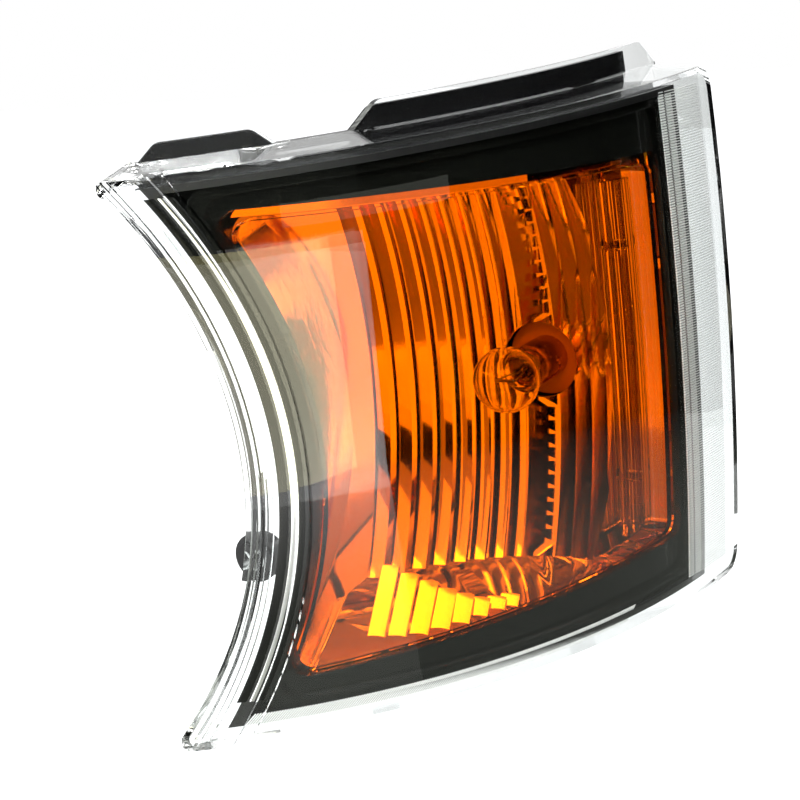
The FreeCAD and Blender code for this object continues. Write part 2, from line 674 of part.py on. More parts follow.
def ear_bush():
    """Rubber bush with a lip on each side of the ear."""
    half = EAR_WALL / 2
    bush = rod(BUSH_R, EAR_Y - half, EAR_Y + half, EAR_X, EAR_Z)
    bore = rod(SPACER_R + FIT_GAP, EAR_Y - EAR_WALL, EAR_Y + EAR_WALL, EAR_X, EAR_Z)
    for side in (-1, 1):
        near = EAR_Y + side * (half + FIT_GAP)
        far = near + side * BUSH_LIP
        bush = bush.fuse(rod(BUSH_LIP_R, min(near, far), max(near, far), EAR_X, EAR_Z))
        bush = bush.fuse(rod(BUSH_R, min(EAR_Y, far), max(EAR_Y, far), EAR_X, EAR_Z))
    return bush.cut(bore).removeSplitter()


def ear_spacer():
    """Steel tube inside the bush that the side bolt passes through."""
    half = EAR_WALL / 2 + FIT_GAP + BUSH_LIP
    return tube(SPACER_R, SPACER_BORE_R, EAR_Y - half, EAR_Y + half, EAR_X, EAR_Z)


def rest_buffers():
    """Rubber feet under the housing."""
    buffers = []
    for station in BUFFER_STATIONS:
        foot = Part.makeCylinder(BUFFER_R, BUFFER_HEIGHT + SLIP, V(0, 0, -BUFFER_HEIGHT), UP)
        foot = at_face(foot, station, 0.0, BUFFER_DEPTH)
        foot.translate(V(0, 0, BOTTOM_Z + HOUSING_LOW_GAP + rake_rise(station)))
        buffers.append(foot.cut(housing_space(-FIT_GAP, 0, 0)))
    return Part.makeCompound(buffers)


# ---------------------------------------------------------------- bezel and filter
def peg_front():
    return BEZEL_DEPTH + BEZEL_WALL - PEG_ROOT / 3


def peg_boss_back():
    return BEZEL_DEPTH + BEZEL_WALL + PEG_ROOT


def stake_front():
    return BEZEL_DEPTH + STAKE_SKIN


def stake_places():
    top = WINDOW_TOP_Z + STAKE_RISE
    return [(station, top + rake_rise(station, WINDOW_TOP_TILT_DEG)) for station in STAKE_STATIONS]


def bezel():
    """Black frame in front of the filter, with a raised border and a lip round the window."""
    back = BEZEL_DEPTH + BEZEL_WALL
    frame = bezel_zone(0, BEZEL_DEPTH - BEZEL_BORDER_RISE, back)
    frame = frame.cut(bezel_zone(BEZEL_BORDER, 0, BEZEL_DEPTH))
    lip_back = BEZEL_DEPTH + WINDOW_RIM_DEPTH
    top_gap = WINDOW_TOP_GAP + WINDOW_RIM
    frame = frame.fuse(window_zone(WINDOW_GAP + WINDOW_RIM, BEZEL_DEPTH, lip_back, top_gap))
    frame = frame.cut(window_zone(WINDOW_GAP, 0, FILTER_BACK, WINDOW_TOP_GAP))
    root = back - SLIP
    for station, z in stake_places():
        frame = frame.fuse(bar_at(STAKE_BOSS_R, FILTER_BACK - FLANGE_GAP - root, station, z, root))
    for station, z, side in peg_places():
        frame = frame.fuse(bar_at(PEG_BOSS_R, peg_boss_back() - root, station, z, root))
    for station, z in stake_places():
        frame = frame.cut(bar_at(STAKE_R, FILTER_BACK, station, z, stake_front()))
    for station, z, side in peg_places():
        frame = frame.cut(bar_at(PEG_R, PEG_LENGTH, station, z, peg_front()))
    return frame.removeSplitter()


def bezel_pins():
    pins = [bar_at(PEG_R, PEG_LENGTH, *place[:2], peg_front()) for place in peg_places()]
    return Part.makeCompound(pins)


def amber_filter():
    """Amber pane with a thinner flange behind it, deeper along the top for the stakes."""
    pane = window_zone(0, FILTER_DEPTH, FILTER_BACK)
    back = FILTER_BACK + FILTER_FLANGE_WALL
    pane = pane.fuse(window_zone(FILTER_FLANGE, FILTER_BACK, back, FILTER_TOP_FLANGE))
    for station, z in stake_places():
        pane = pane.cut(bar_at(STAKE_R + STAKE_SLIP, REACH / 2, station, z, BEZEL_DEPTH))
    return pane.removeSplitter()


def filter_stakes():
    """Plastic rivets that hold the filter's flange to the bezel's bosses."""
    back = FILTER_BACK + FILTER_FLANGE_WALL
    stakes = []
    for station, z in stake_places():
        shank = bar_at(STAKE_R, back - stake_front() + FLANGE_GAP, station, z, stake_front())
        stakes.append(shank.fuse(bar_at(STAKE_HEAD_R, STAKE_HEAD, station, z, back + FLANGE_GAP)))
    return Part.makeCompound(stakes)


# ---------------------------------------------------------------- reflector
def flute_slab(left, width, bulge_x, set_back):
    """Space in front of one flute, whose back is an arc in the vertical plane."""
    half = REACH + REACH / 2
    drop = (bulge_x - BULB_X) ** 2 / (4 * BOWL_FOCUS_PLAN)
    near = BOWL_Y - drop + set_back
    sag = half ** 2 / (4 * BOWL_FOCUS_HEIGHT)
    top = V(left, near - sag, BULB_Z + half)
    middle = V(left, near, BULB_Z)
    low = V(left, near - sag, BULB_Z - half)
    front_y = FACE_AXIS.y - FACE_R - REACH
    corners = [low, V(left, front_y, BULB_Z - half), V(left, front_y, BULB_Z + half), top]
    edges = [Part.Arc(top, middle, low).toShape()]
    edges += [Part.LineSegment(a, b).toShape() for a, b in zip(corners, corners[1:])]
    return Part.Face(Part.Wire(edges)).extrude(V(width, 0, 0))


def bowl_space(wall):
    """Space inside the fluted bowl (wall 0), or the bowl's outside."""
    slabs = []
    for flute in range(-FLUTES_LEFT, FLUTES_RIGHT):
        left = BULB_X + flute * FLUTE_PITCH
        slabs.append(flute_slab(left - wall, FLUTE_PITCH + 2 * wall, left + FLUTE_PITCH / 2, wall))
    front = REFLECTOR_DEPTH if wall else REFLECTOR_DEPTH - 1
    space = slabs[0].fuse(slabs[1:] + [skin(front, WING_DEPTH + wall)])
    return space.common(window_zone(REFLECTOR_MARGIN + wall, front, 2 * REACH, leaning=True))


def reflector():
    """Metallised bowl with stepped upright flutes, a flat wing and four fixing lugs."""
    shell = bowl_space(REFLECTOR_WALL)
    for station, z, side in lug_places():
        shell = shell.fuse(bar_at(LUG_EAR_R, LUG_EAR_WALL, station, z, LUG_EAR_DEPTH))
        web = block(2 * LUG_EAR_R, LUG_EAR_WALL, LUG_EAR_R + SLIP, 0, 0, -side * (LUG_EAR_R + SLIP) / 2)
        shell = shell.fuse(at_face(web, station, z, LUG_EAR_DEPTH))
    shell = shell.cut(bowl_space(0))
    shell = shell.cut(rod(REFLECTOR_HOLE_R, BOWL_Y - REACH / 2, 0))
    for station, z, side in lug_places():
        shell = shell.cut(bar_at(SCREW_R + SCREW_SLIP, REACH / 6, station, z, LUG_EAR_DEPTH - SLIP))
    for z in optic_peg_heights():
        shell = shell.cut(bar_at(OPTIC_PEG_R + FIT_GAP, REACH / 4, optic_station(), z, OPTIC_DEPTH))
    return shell.removeSplitter()


def reflector_screws():
    screws = []
    for station, z, side in lug_places():
        shank = bar_at(SCREW_R, SCREW_LENGTH, station, z, LUG_EAR_DEPTH - FIT_GAP)
        head = bar_at(SCREW_HEAD_R, SCREW_HEAD, station, z, LUG_EAR_DEPTH - FIT_GAP - SCREW_HEAD)
        screws.append(shank.fuse(head))
    return Part.makeCompound(screws)


def optic_station():
    return (OPTIC_START + WINDOW_END) / 2


def optic_peg_heights():
    middle = (WINDOW_TOP_Z + WINDOW_LOW_Z) / 2
    return (middle - OPTIC_PEG_SPACING / 2, middle + OPTIC_PEG_SPACING / 2)


def side_optic():
    """Ribbed plate on two pegs in front of the reflector's wing."""
    back = OPTIC_DEPTH + OPTIC_WALL
    plate = window_zone(-OPTIC_MARGIN, OPTIC_DEPTH, back).common(skin(0, back, heading(OPTIC_START)))
    width = (WINDOW_END - OPTIC_MARGIN - OPTIC_START) / (2 * OPTIC_RIBS)
    for rib in range(OPTIC_RIBS):
        start = OPTIC_START + 2 * rib * width
        ridge = skin(OPTIC_DEPTH - OPTIC_RIB, OPTIC_DEPTH, heading(start), heading(start + width))
        plate = plate.fuse(ridge.common(window_zone(-OPTIC_MARGIN, 0, back)))
    root = back - SLIP
    for z in optic_peg_heights():
        length = WING_DEPTH + REFLECTOR_WALL - root
        plate = plate.fuse(bar_at(OPTIC_PEG_R, length, optic_station(), z, root))
    return plate.removeSplitter()


# ---------------------------------------------------------------- bulb
def bulb_form(inset):
    """Round bulb drawn down to its neck."""
    neck = rod(GLASS_NECK_R - inset, GLASS_CENTRE_Y, CAP_FRONT_Y + GLASS_SEAT)
    ball = Part.makeSphere(GLASS_R - inset, V(BULB_X, GLASS_CENTRE_Y, BULB_Z))
    form = ball.fuse(neck).removeSplitter()
    waist = GLASS_CENTRE_Y + math.sqrt(GLASS_R ** 2 - GLASS_NECK_R ** 2)
    ring = [e for e in form.Edges if abs(e.CenterOfMass.y - waist) < 1 and e.Length > GLASS_NECK_R]
    return form.makeFillet(GLASS_WAIST_R + inset, ring)


def bulb_glass():
    inside = bulb_form(GLASS_WALL)
    return bulb_form(0).cut(inside)


def bulb_stem():
    """Glass foot and stem that carry the filament's supports."""
    back = CAP_FRONT_Y + GLASS_SEAT
    radius = GLASS_NECK_R - GLASS_WALL - FIT_GAP
    foot = rod(radius, back - STEM_FOOT, back)
    stem = foot.fuse(rod(STEM_R, back - STEM_LENGTH, back - STEM_FOOT))
    return stem.cut([support(side) for side in (-1, 1)]).removeSplitter()


def support(side):
    """Wire from the stem to one end of the filament."""
    start_y = CAP_FRONT_Y + GLASS_SEAT - STEM_LENGTH + STEM_FOOT
    start = V(BULB_X + side * SUPPORT_SPACING / 2, start_y, BULB_Z)
    end = V(BULB_X + side * FILAMENT_LENGTH / 2, FILAMENT_Y, BULB_Z)
    return Part.makeCylinder(SUPPORT_R, start.distanceToPoint(end), start, end - start)


def bulb_supports():
    return Part.makeCompound([support(-1), support(1)])


def filament():
    """Coil across the lamp axis, drawn as its envelope between the supports."""
    length = FILAMENT_LENGTH - 2 * (SUPPORT_R + FIT_GAP)
    start = V(BULB_X - length / 2, FILAMENT_Y, BULB_Z)
    return Part.makeCylinder(FILAMENT_R, length, start, V(1, 0, 0)).cut(bulb_supports())


def bulb_cap():
    """Brass cap with two bayonet pins."""
    cap = tube(CAP_R, CAP_BORE_R, CAP_FRONT_Y, CAP_BACK_Y)
    for side in (-1, 1):
        foot = V(BULB_X + side * (CAP_R - CAP_WALL / 2), PIN_Y, BULB_Z)
        cap = cap.fuse(Part.makeCylinder(PIN_R, PIN_REACH + CAP_WALL / 2, foot, V(side, 0, 0)))
    return cap.removeSplitter()


def bulb_insulator():
    return tube(CAP_BORE_R - FIT_GAP, SOLDER_R + FIT_GAP, CAP_BACK_Y - INSULATOR_WALL, CAP_BACK_Y)


def solder_contact():
    contact = rod(SOLDER_R, CAP_BACK_Y - INSULATOR_WALL, CAP_BACK_Y + SOLDER_RISE)
    tip = [e for e in contact.Edges if abs(e.CenterOfMass.y - CAP_BACK_Y - SOLDER_RISE) < FIT_GAP]
    return contact.makeFillet(SOLDER_RISE / 2, tip)


# ---------------------------------------------------------------- bulb holder
def bayonet_slot(side):
    """J-shaped slot: in at the front, round, and forward again into the hook."""
    turn = 90 - 90 * side
    gap = PIN_R + SLOT_SLIP
    outer = SLEEVE_R + SLIP
    inner = SLEEVE_BORE_R - SLIP
    deep = PIN_Y + BULB_TRAVEL + gap
    front = PIN_Y + BULB_TRAVEL - gap
    entry = turn + SLOT_ENTRY_DEG
    start, end = entry - SLOT_HALF_DEG, entry + SLOT_HALF_DEG
    slot = tube_sector(outer, inner, CAP_FRONT_Y - REACH, deep, start, end)
    channel = tube_sector(outer, inner, front, deep, turn - SLOT_HALF_DEG, entry + SLOT_HALF_DEG)
    hook = tube_sector(outer, inner, PIN_Y - gap, deep, turn - SLOT_HALF_DEG, turn + SLOT_HALF_DEG)
    return slot.fuse([channel, hook])


def bulb_sleeve():
    sleeve = tube(SLEEVE_R, SLEEVE_BORE_R, CAP_FRONT_Y - SLEEVE_FRONT, BASE_Y - SPRING_GAP)
    return sleeve.cut([bayonet_slot(-1), bayonet_slot(1)])


def bulb_holder():
    """Quarter-turn holder: barrel with lugs, flange, finger grip and connector inlet."""
    flange_back = FLANGE_Y + HOLDER_FLANGE_WALL
    body = rod(BARREL_R, BARREL_FRONT_Y, FLANGE_Y).fuse(rod(HOLDER_FLANGE_R, FLANGE_Y, flange_back))
    lug_back = BACK_Y - PORT_RING - LUG_GAP
    for lug in range(LUG_COUNT):
        start = 360 * lug / LUG_COUNT
        end = start + LUG_WIDTH_DEG
        reach = BARREL_R + LUG_REACH
        body = body.fuse(tube_sector(reach, BARREL_R / 2, lug_back - LUG_THICK, lug_back, start, end))
    body = body.fuse(block(GRIP_WALL, GRIP_LENGTH, 2 * GRIP_R, BULB_X, flange_back, BULB_Z))
    shroud_w = SOCKET_W + 2 * SOCKET_WALL
    shroud_h = SOCKET_H + 2 * SOCKET_WALL
    shroud = block(shroud_w, SOCKET_FLOOR + SOCKET_DEPTH, shroud_h, BULB_X, flange_back, BULB_Z)
    body = body.fuse(shroud.makeFillet(SOCKET_WALL, depth_lines(shroud)))
    body = body.cut(block(SOCKET_W, REACH, SOCKET_H, BULB_X, INLET_Y, BULB_Z))
    body = body.cut(rod(SLEEVE_R + SLEEVE_SEAT, BARREL_FRONT_Y - 1, BASE_Y))
    plunger_end = PLUNGER_Y + PLUNGER_LENGTH + BULB_TRAVEL + SLIP
    body = body.cut(rod(PLUNGER_R + PLUNGER_SLIP, BASE_Y - 1, plunger_end))
    for side in (-1, 1):
        body = body.cut(blade(side, BLADE_SLIP))
    return body.removeSplitter()


def depth_lines(shape):
    """Edges that run fore and aft."""
    return [e for e in shape.Edges if e.BoundBox.YLength > e.BoundBox.DiagonalLength - FIT_GAP]


def blade(side, slip):
    """One flat terminal, let out by a slip for the slot that it stands in."""
    start = FLANGE_Y - HOLDER_FLANGE_WALL
    length = INLET_Y + BLADE_REACH - start
    x = BULB_X + side * BLADE_SPACING / 2
    return block(BLADE_T + 2 * slip, length, BLADE_W + 2 * slip, x, start, BULB_Z)


def terminal_blades():
    return Part.makeCompound([blade(-1, 0), blade(1, 0)])


def holder_gasket():
    front = BACK_Y + GASKET_GAP
    return tube(GASKET_R, BARREL_R + LUG_REACH + LUG_SLIP, front, front + GASKET_WALL)


def contact_plunger():
    head = rod(PLUNGER_HEAD_R, PLUNGER_Y, PLUNGER_Y + PLUNGER_HEAD)
    return head.fuse(rod(PLUNGER_R, PLUNGER_Y, PLUNGER_Y + PLUNGER_LENGTH)).removeSplitter()


def contact_spring():
    """Coil spring behind the plunger's head."""
    start = PLUNGER_Y + PLUNGER_HEAD + SPRING_GAP + SPRING_WIRE_R
    height = SPRING_SPACE - 2 * SPRING_WIRE_R
    path = Part.makeHelix(height / SPRING_TURNS, height, SPRING_R)
    section = Part.makeCircle(SPRING_WIRE_R, V(SPRING_R, 0, 0), V(0, 1, 0))
    coil = Part.Wire(path.Edges).makePipeShell([Part.Wire(section)], True, True)
    coil.rotate(V(0, 0, 0), V(1, 0, 0), -90)
    coil.translate(V(BULB_X, start, BULB_Z))
    return coil


# ---------------------------------------------------------------- breather
def breather_membrane():
    start = BACK_Y + BREATHER_TUBE + FIT_GAP
    return rod(BREATHER_TUBE_R, start, start + MEMBRANE_WALL, BREATHER_X, BREATHER_Z)


def breather_cap():
    """Cap gripping the breather tube, with a splash skirt."""
    top = BACK_Y + BREATHER_TUBE + MEMBRANE_WALL + 2 * FIT_GAP
    grip_bore = BREATHER_TUBE_R + FIT_GAP
    cap = rod(BREATHER_CAP_R, top, top + BREATHER_CAP_WALL, BREATHER_X, BREATHER_Z)
    skirt_bore = BREATHER_CAP_R - BREATHER_CAP_WALL
    cap = cap.fuse(tube(BREATHER_CAP_R, skirt_bore, top - BREATHER_CAP_SKIRT, top, BREATHER_X, BREATHER_Z))
    grip = tube(grip_bore + BREATHER_GRIP, grip_bore, top - BREATHER_CAP_SKIRT, top, BREATHER_X, BREATHER_Z)
    return cap.fuse(grip).removeSplitter()


def main():
    parts = {
        "outer_lens": outer_lens(),
        "lens_seal": lens_seal(),
        "housing": housing(),
        "side_ear": side_ear(),
        "mounting_studs": mounting_studs(),
        "locating_dowel": locating_dowel(),
        "ear_bush": ear_bush(),
        "ear_spacer": ear_spacer(),
        "rest_buffers": rest_buffers(),
        "bezel": bezel(),
        "bezel_pins": bezel_pins(),
        "amber_filter": amber_filter(),
        "filter_stakes": filter_stakes(),
        "reflector": reflector(),
        "reflector_screws": reflector_screws(),
        "side_optic": side_optic(),
        "bulb_glass": bulb_glass(),
        "bulb_stem": bulb_stem(),
        "bulb_supports": bulb_supports(),
        "filament": filament(),
        "bulb_cap": bulb_cap(),
        "bulb_insulator": bulb_insulator(),
        "solder_contact": solder_contact(),
        "bulb_sleeve": bulb_sleeve(),
        "bulb_holder": bulb_holder(),
        "holder_gasket": holder_gasket(),
        "terminal_blades": terminal_blades(),
        "contact_plunger": contact_plunger(),
        "contact_spring": contact_spring(),
        "breather_cap": breather_cap(),
        "breather_membrane": breather_membrane(),
    }
    os.makedirs("parts", exist_ok=True)
    for name, shape in parts.items():
        shape.exportStep("parts/" + name + ".step")


if __name__ == "__main__":
    main()
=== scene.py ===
"""Looks of a lorry's front corner indicator lamp: clear wrap-round lens, black bezel, amber filter,
metallised fluted bowl, bayonet bulb, quarter-turn bulb holder and black housing.

Everything is in metres in the row frame: +Z up, -Y the way the vehicle faces, +X the outer side.
"""

import json
import logging
import math
from collections.abc import Callable, Iterable
from dataclasses import dataclass
from enum import Enum

import bmesh
import bpy
import numpy as np
from mathutils import Matrix, Vector

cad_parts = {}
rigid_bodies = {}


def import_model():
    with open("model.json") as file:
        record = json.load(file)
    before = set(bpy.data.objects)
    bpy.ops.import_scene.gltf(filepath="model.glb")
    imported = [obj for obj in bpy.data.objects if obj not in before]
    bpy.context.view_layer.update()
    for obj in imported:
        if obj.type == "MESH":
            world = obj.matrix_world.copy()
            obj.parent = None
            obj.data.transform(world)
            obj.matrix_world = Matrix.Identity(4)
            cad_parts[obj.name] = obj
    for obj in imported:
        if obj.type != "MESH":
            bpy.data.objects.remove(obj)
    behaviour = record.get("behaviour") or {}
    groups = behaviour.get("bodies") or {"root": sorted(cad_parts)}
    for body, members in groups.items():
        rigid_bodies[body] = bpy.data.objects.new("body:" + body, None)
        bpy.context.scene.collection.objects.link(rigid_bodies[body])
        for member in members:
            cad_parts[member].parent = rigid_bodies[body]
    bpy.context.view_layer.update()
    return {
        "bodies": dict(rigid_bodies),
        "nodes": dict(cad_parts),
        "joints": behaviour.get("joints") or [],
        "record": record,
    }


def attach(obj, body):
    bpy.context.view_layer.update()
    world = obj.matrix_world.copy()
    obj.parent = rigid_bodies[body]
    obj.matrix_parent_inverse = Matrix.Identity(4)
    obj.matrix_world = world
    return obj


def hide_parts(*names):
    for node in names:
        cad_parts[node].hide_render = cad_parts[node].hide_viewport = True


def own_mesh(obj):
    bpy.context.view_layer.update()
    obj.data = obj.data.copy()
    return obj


LOG = logging.getLogger("lamp")
MM = 0.001
# Corners closer than this are one corner.
WELD = 0.001 * MM
# Most of a noise texture's values lie between these two.
NOISE_LOW = 0.3
NOISE_HIGH = 0.7
# A place, a direction or a colour.
Triple = tuple[float, float, float]
# What feeds a node's input: a number, or another node's socket.
Feed = float | bpy.types.NodeSocket


class Body(Enum):
    """Rigid bodies of the lamp."""

    LAMP = "lamp"
    HOLDER = "holder"
    BULB = "bulb"
    PLUNGER = "plunger"


class Slot(Enum):
    """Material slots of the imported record."""

    CLEAR = "clear_plastic"
    AMBER = "amber_plastic"
    BLACK = "black_gloss"
    HOUSING = "housing_plastic"
    ADHESIVE = "adhesive"
    METALLISED = "metallised"
    ZINC = "zinc_steel"
    RUBBER = "rubber"
    BRASS = "brass"
    GLASS = "bulb_glass"
    BLACK_GLASS = "black_glass"
    TUNGSTEN = "tungsten"
    SOLDER = "solder"
    HOLDER = "holder_plastic"
    MEMBRANE = "membrane"


class Sight(Enum):
    """Light that a studio card takes part in, as (gloss, glass)."""

    GLOSS = (True, False)
    GLASS = (False, True)
    BOTH = (True, True)


# ---------------------------------------------------------------- nodes and finishes
def linear(hex_colour: str, alpha: float = 1.0) -> tuple[float, float, float, float]:
    """Turn an sRGB hex colour into linear light.

    Args:
        hex_colour: six hexadecimal digits.
        alpha: fourth value of the result.

    Returns:
        Red, green, blue and alpha.
    """
    values = [int(hex_colour[i:i + 2], 16) / 255 for i in (0, 2, 4)]
    red, green, blue = (v / 12.92 if v <= 0.04045 else ((v + 0.055) / 1.055) ** 2.4 for v in values)
    return red, green, blue, alpha


def add_node(tree: bpy.types.NodeTree, kind: str, inputs: dict | None = None,
             **settings: object) -> bpy.types.Node:
    """Add a node with its settings and its links.

    Args:
        tree: tree that gets the node.
        kind: the node's type.
        inputs: socket name or number to a value or to the socket that feeds it.
        settings: the node's own properties.

    Returns:
        The new node.
    """
    node = tree.nodes.new(kind)
    for name, value in settings.items():
        setattr(node, name, value)
    for name, value in (inputs or {}).items():
        if isinstance(value, bpy.types.NodeSocket):
            tree.links.new(value, node.inputs[name])
        else:
            node.inputs[name].default_value = value
    return node


def blank(name: str) -> bpy.types.Material:
    """Start a material with an empty node tree.

    Args:
        name: its name.

    Returns:
        The material.
    """
    material = bpy.data.materials.new(name)
    material.use_nodes = True
    material.node_tree.nodes.clear()
    return material


@dataclass(frozen=True)
class Finish:
    """A surface with two tones, a grain and a varying gloss.

    Attributes:
        name: the material's name.
        colour: its main tone, an sRGB hex value.
        tone: its second tone, in soft patches.
        roughness: middle of its roughness.
        spread: how much the roughness varies.
        grain_mm: size of the grain.
        grain_depth_mm: depth of the grain.
        metallic: 1 for bare metal.
        coat: weight of a clear coat.
        edge_mm: radius that sharp edges are seen with.
        specular: strength of the gloss.
        stretch: how much finer the grain is along X, Y and Z.
        patch_mm: size of the patches of the second tone.
        relief: share of the grain's depth that shows.
    """

    name: str
    colour: str
    tone: str
    roughness: float
    spread: float = 0.05
    grain_mm: float = 0.8
    grain_depth_mm: float = 0.01
    metallic: float = 0.0
    coat: float = 0.0
    edge_mm: float = 0.0
    specular: float = 0.5
    stretch: Triple = (1.0, 1.0, 1.0)
    patch_mm: float = 25.0
    relief: float = 0.6

    def surface(self, tree: bpy.types.NodeTree) -> bpy.types.Node:
        """Build the shader.

        Args:
            tree: the material's node tree.

        Returns:
            The shader node.
        """
        place = add_node(tree, "ShaderNodeTexCoord").outputs["Object"]
        place = add_node(tree, "ShaderNodeMapping", {"Vector": place, "Scale": self.stretch}).outputs[0]
        grain = add_node(tree, "ShaderNodeTexNoise", {"Vector": place, "Scale": 1 / (self.grain_mm * MM),
                                                      "Detail": 4.0})
        patch = add_node(tree, "ShaderNodeTexNoise", {"Vector": place, "Scale": 1 / (self.patch_mm * MM),
                                                      "Detail": 2.0})
        tones = add_node(tree, "ShaderNodeMix", {
            0: patch.outputs[0], 6: linear(self.colour), 7: linear(self.tone)}, data_type="RGBA")
        gloss = add_node(tree, "ShaderNodeMapRange", {
            "Value": grain.outputs[0], "From Min": NOISE_LOW, "From Max": NOISE_HIGH,
            "To Min": self.roughness - self.spread / 2, "To Max": self.roughness + self.spread / 2})
        bump = add_node(tree, "ShaderNodeBump", {"Height": grain.outputs[0], "Strength": self.relief,
                                                 "Distance": self.grain_depth_mm * MM})
        if self.edge_mm:
            rounded = add_node(tree, "ShaderNodeBevel", {"Radius": self.edge_mm * MM}, samples=4)
            tree.links.new(rounded.outputs[0], bump.inputs["Normal"])
        return add_node(tree, "ShaderNodeBsdfPrincipled", {
            "Base Color": tones.outputs[2], "Roughness": gloss.outputs[0], "Metallic": self.metallic,
            "Specular IOR Level": self.specular, "Coat Weight": self.coat, "Normal": bump.outputs[0]})

    def make(self) -> bpy.types.Material:
        """Build the material, unless it is already there.

        Returns:
            The material.
        """
        if self.name in bpy.data.materials:
            return bpy.data.materials[self.name]
        material = blank(self.name)
        shader = self.surface(material.node_tree)
        add_node(material.node_tree, "ShaderNodeOutputMaterial", {"Surface": shader.outputs[0]})
        return material


@dataclass(frozen=True)
class ClearFinish(Finish):
    """A transparent moulding or blown glass; light that makes shadows passes it, tinted.

    Attributes:
        ior: its index of refraction.
        shadow: tint of the light that passes it into a shadow, an sRGB hex value.
    """

    relief: float = 0.5
    ior: float = 1.58
    shadow: str = "E8E8E8"

    def surface(self, tree: bpy.types.NodeTree) -> bpy.types.Node:
        """Build the shader.

        Args:
            tree: the material's node tree.

        Returns:
            The shader node.
        """
        place = add_node(tree, "ShaderNodeTexCoord").outputs["Object"]
        grain = add_node(tree, "ShaderNodeTexNoise", {"Vector": place, "Scale": 1 / (self.grain_mm * MM),
                                                      "Detail": 2.0})
        tones = add_node(tree, "ShaderNodeMix", {
            0: grain.outputs[0], 6: linear(self.colour), 7: linear(self.tone)}, data_type="RGBA")
        gloss = add_node(tree, "ShaderNodeMapRange", {"Value": grain.outputs[0], "To Min": self.roughness,
                                                      "To Max": self.roughness + self.spread})
        bump = add_node(tree, "ShaderNodeBump", {"Height": grain.outputs[0], "Strength": self.relief,
                                                 "Distance": self.grain_depth_mm * MM})
        shader = add_node(tree, "ShaderNodeBsdfPrincipled", {
            "Base Color": tones.outputs[2], "Roughness": gloss.outputs[0], "IOR": self.ior,
            "Transmission Weight": 1.0, "Normal": bump.outputs[0]})
        passing = add_node(tree, "ShaderNodeBsdfTransparent", {"Color": linear(self.shadow)})
        shadow_ray = add_node(tree, "ShaderNodeLightPath").outputs["Is Shadow Ray"]
        return add_node(tree, "ShaderNodeMixShader", {
            0: shadow_ray, 1: shader.outputs[0], 2: passing.outputs[0]})


# Injection-moulded polycarbonate, polished tool: water-clear with the faintest flow waviness.
CLEAR_PC = ClearFinish("polycarbonate_clear", "FBFCFC", "F6F9F8", 0.004, 0.006, 30.0, 0.02)
# Acrylic pigmented amber, moulded and polished: deep orange where light crosses it twice, paler where once.
AMBER_ACRYLIC = ClearFinish("acrylic_amber", "FFA81E", "FFA218", 0.01, 0.02, 20.0, 0.02,
                            ior=1.49, shadow="FFB030")
# Blown soda-lime glass of the bulb: clear, with soft ripples.
BULB_GLASS = ClearFinish("soda_lime_glass", "FDFEFE", "FAFCFC", 0.002, 0.004, 10.0, 0.01, ior=1.52)
# Black polycarbonate of the bezel, moulded in a polished tool: deep black under a soft, even sheen.
BLACK_PC = Finish("polycarbonate_black", "0A0B09", "10110E", 0.12, 0.05, 3.0, 0.004,
                  edge_mm=0.7, specular=0.2)
# The lens's own plastic where fine tooling leaves it frosted.
FROSTED_PC = Finish("polycarbonate_frosted", "F4F6F5", "E8EBE9", 0.4, 0.1, 0.5, 0.01)
# Talc-filled black polypropylene of the housing, moulded: a satin sheen over a fine grain.
BLACK_PP = Finish("polypropylene_black", "0C0C0D", "121213", 0.2, 0.08, 0.7, 0.004, edge_mm=0.6)
# Aluminium, vacuum-metallised over lacquer: a bright mirror with a faint waviness.
ALUMINISED = Finish("aluminised_lacquer", "EDEDEB", "E4E4E1", 0.06, 0.04, 6.0, 0.01, metallic=1.0)
# Cured polyurethane adhesive, laid as a bead: black, with a dull wet look.
POLYURETHANE = Finish("polyurethane_bead", "0D0D0D", "151515", 0.35, 0.1, 2.0, 0.05)
# Bright zinc plate on turned steel: silvery, drawn out along the turned length.
ZINC_PLATE = Finish("zinc_plated_steel", "C9CCCB", "AFB4B3", 0.28, 0.12, 1.0, 0.01,
                    metallic=1.0, stretch=(1, 0.1, 1))
# Moulded EPDM rubber: matt, greyish black.
EPDM = Finish("epdm_rubber", "101011", "19191A", 0.62, 0.15, 0.5, 0.04)
# Drawn brass sheet: warm yellow metal, slightly tarnished in patches.
BRASS = Finish("drawn_brass", "C9A664", "B08A48", 0.22, 0.12, 1.5, 0.01, metallic=1.0)
# Fused vitrite glass at the foot of the cap: black and glassy.
VITRITE = Finish("vitrite", "08080A", "101014", 0.12, 0.05, 1.0, 0.01, coat=0.4)
# Drawn steel and tungsten wire: dull grey metal.
WIRE = Finish("drawn_wire", "7C7873", "5E5B57", 0.35, 0.1, 0.4, 0.01, metallic=1.0)
# Tin solder, set from the melt: a pale dome with a cloudy shine.
SOLDER = Finish("tin_solder", "BEBEBC", "A4A4A2", 0.3, 0.15, 0.8, 0.03, metallic=1.0)
# Glass-filled nylon of the holder, moulded in its natural colour: ivory, half matt.
NYLON = Finish("glass_filled_nylon", "CFC8B4", "BEB69F", 0.48, 0.15, 0.6, 0.03)
# Expanded PTFE of the breather's membrane: chalky white.
PTFE = Finish("expanded_ptfe", "E6E6E3", "D6D6D2", 0.8, 0.1, 0.3, 0.03)


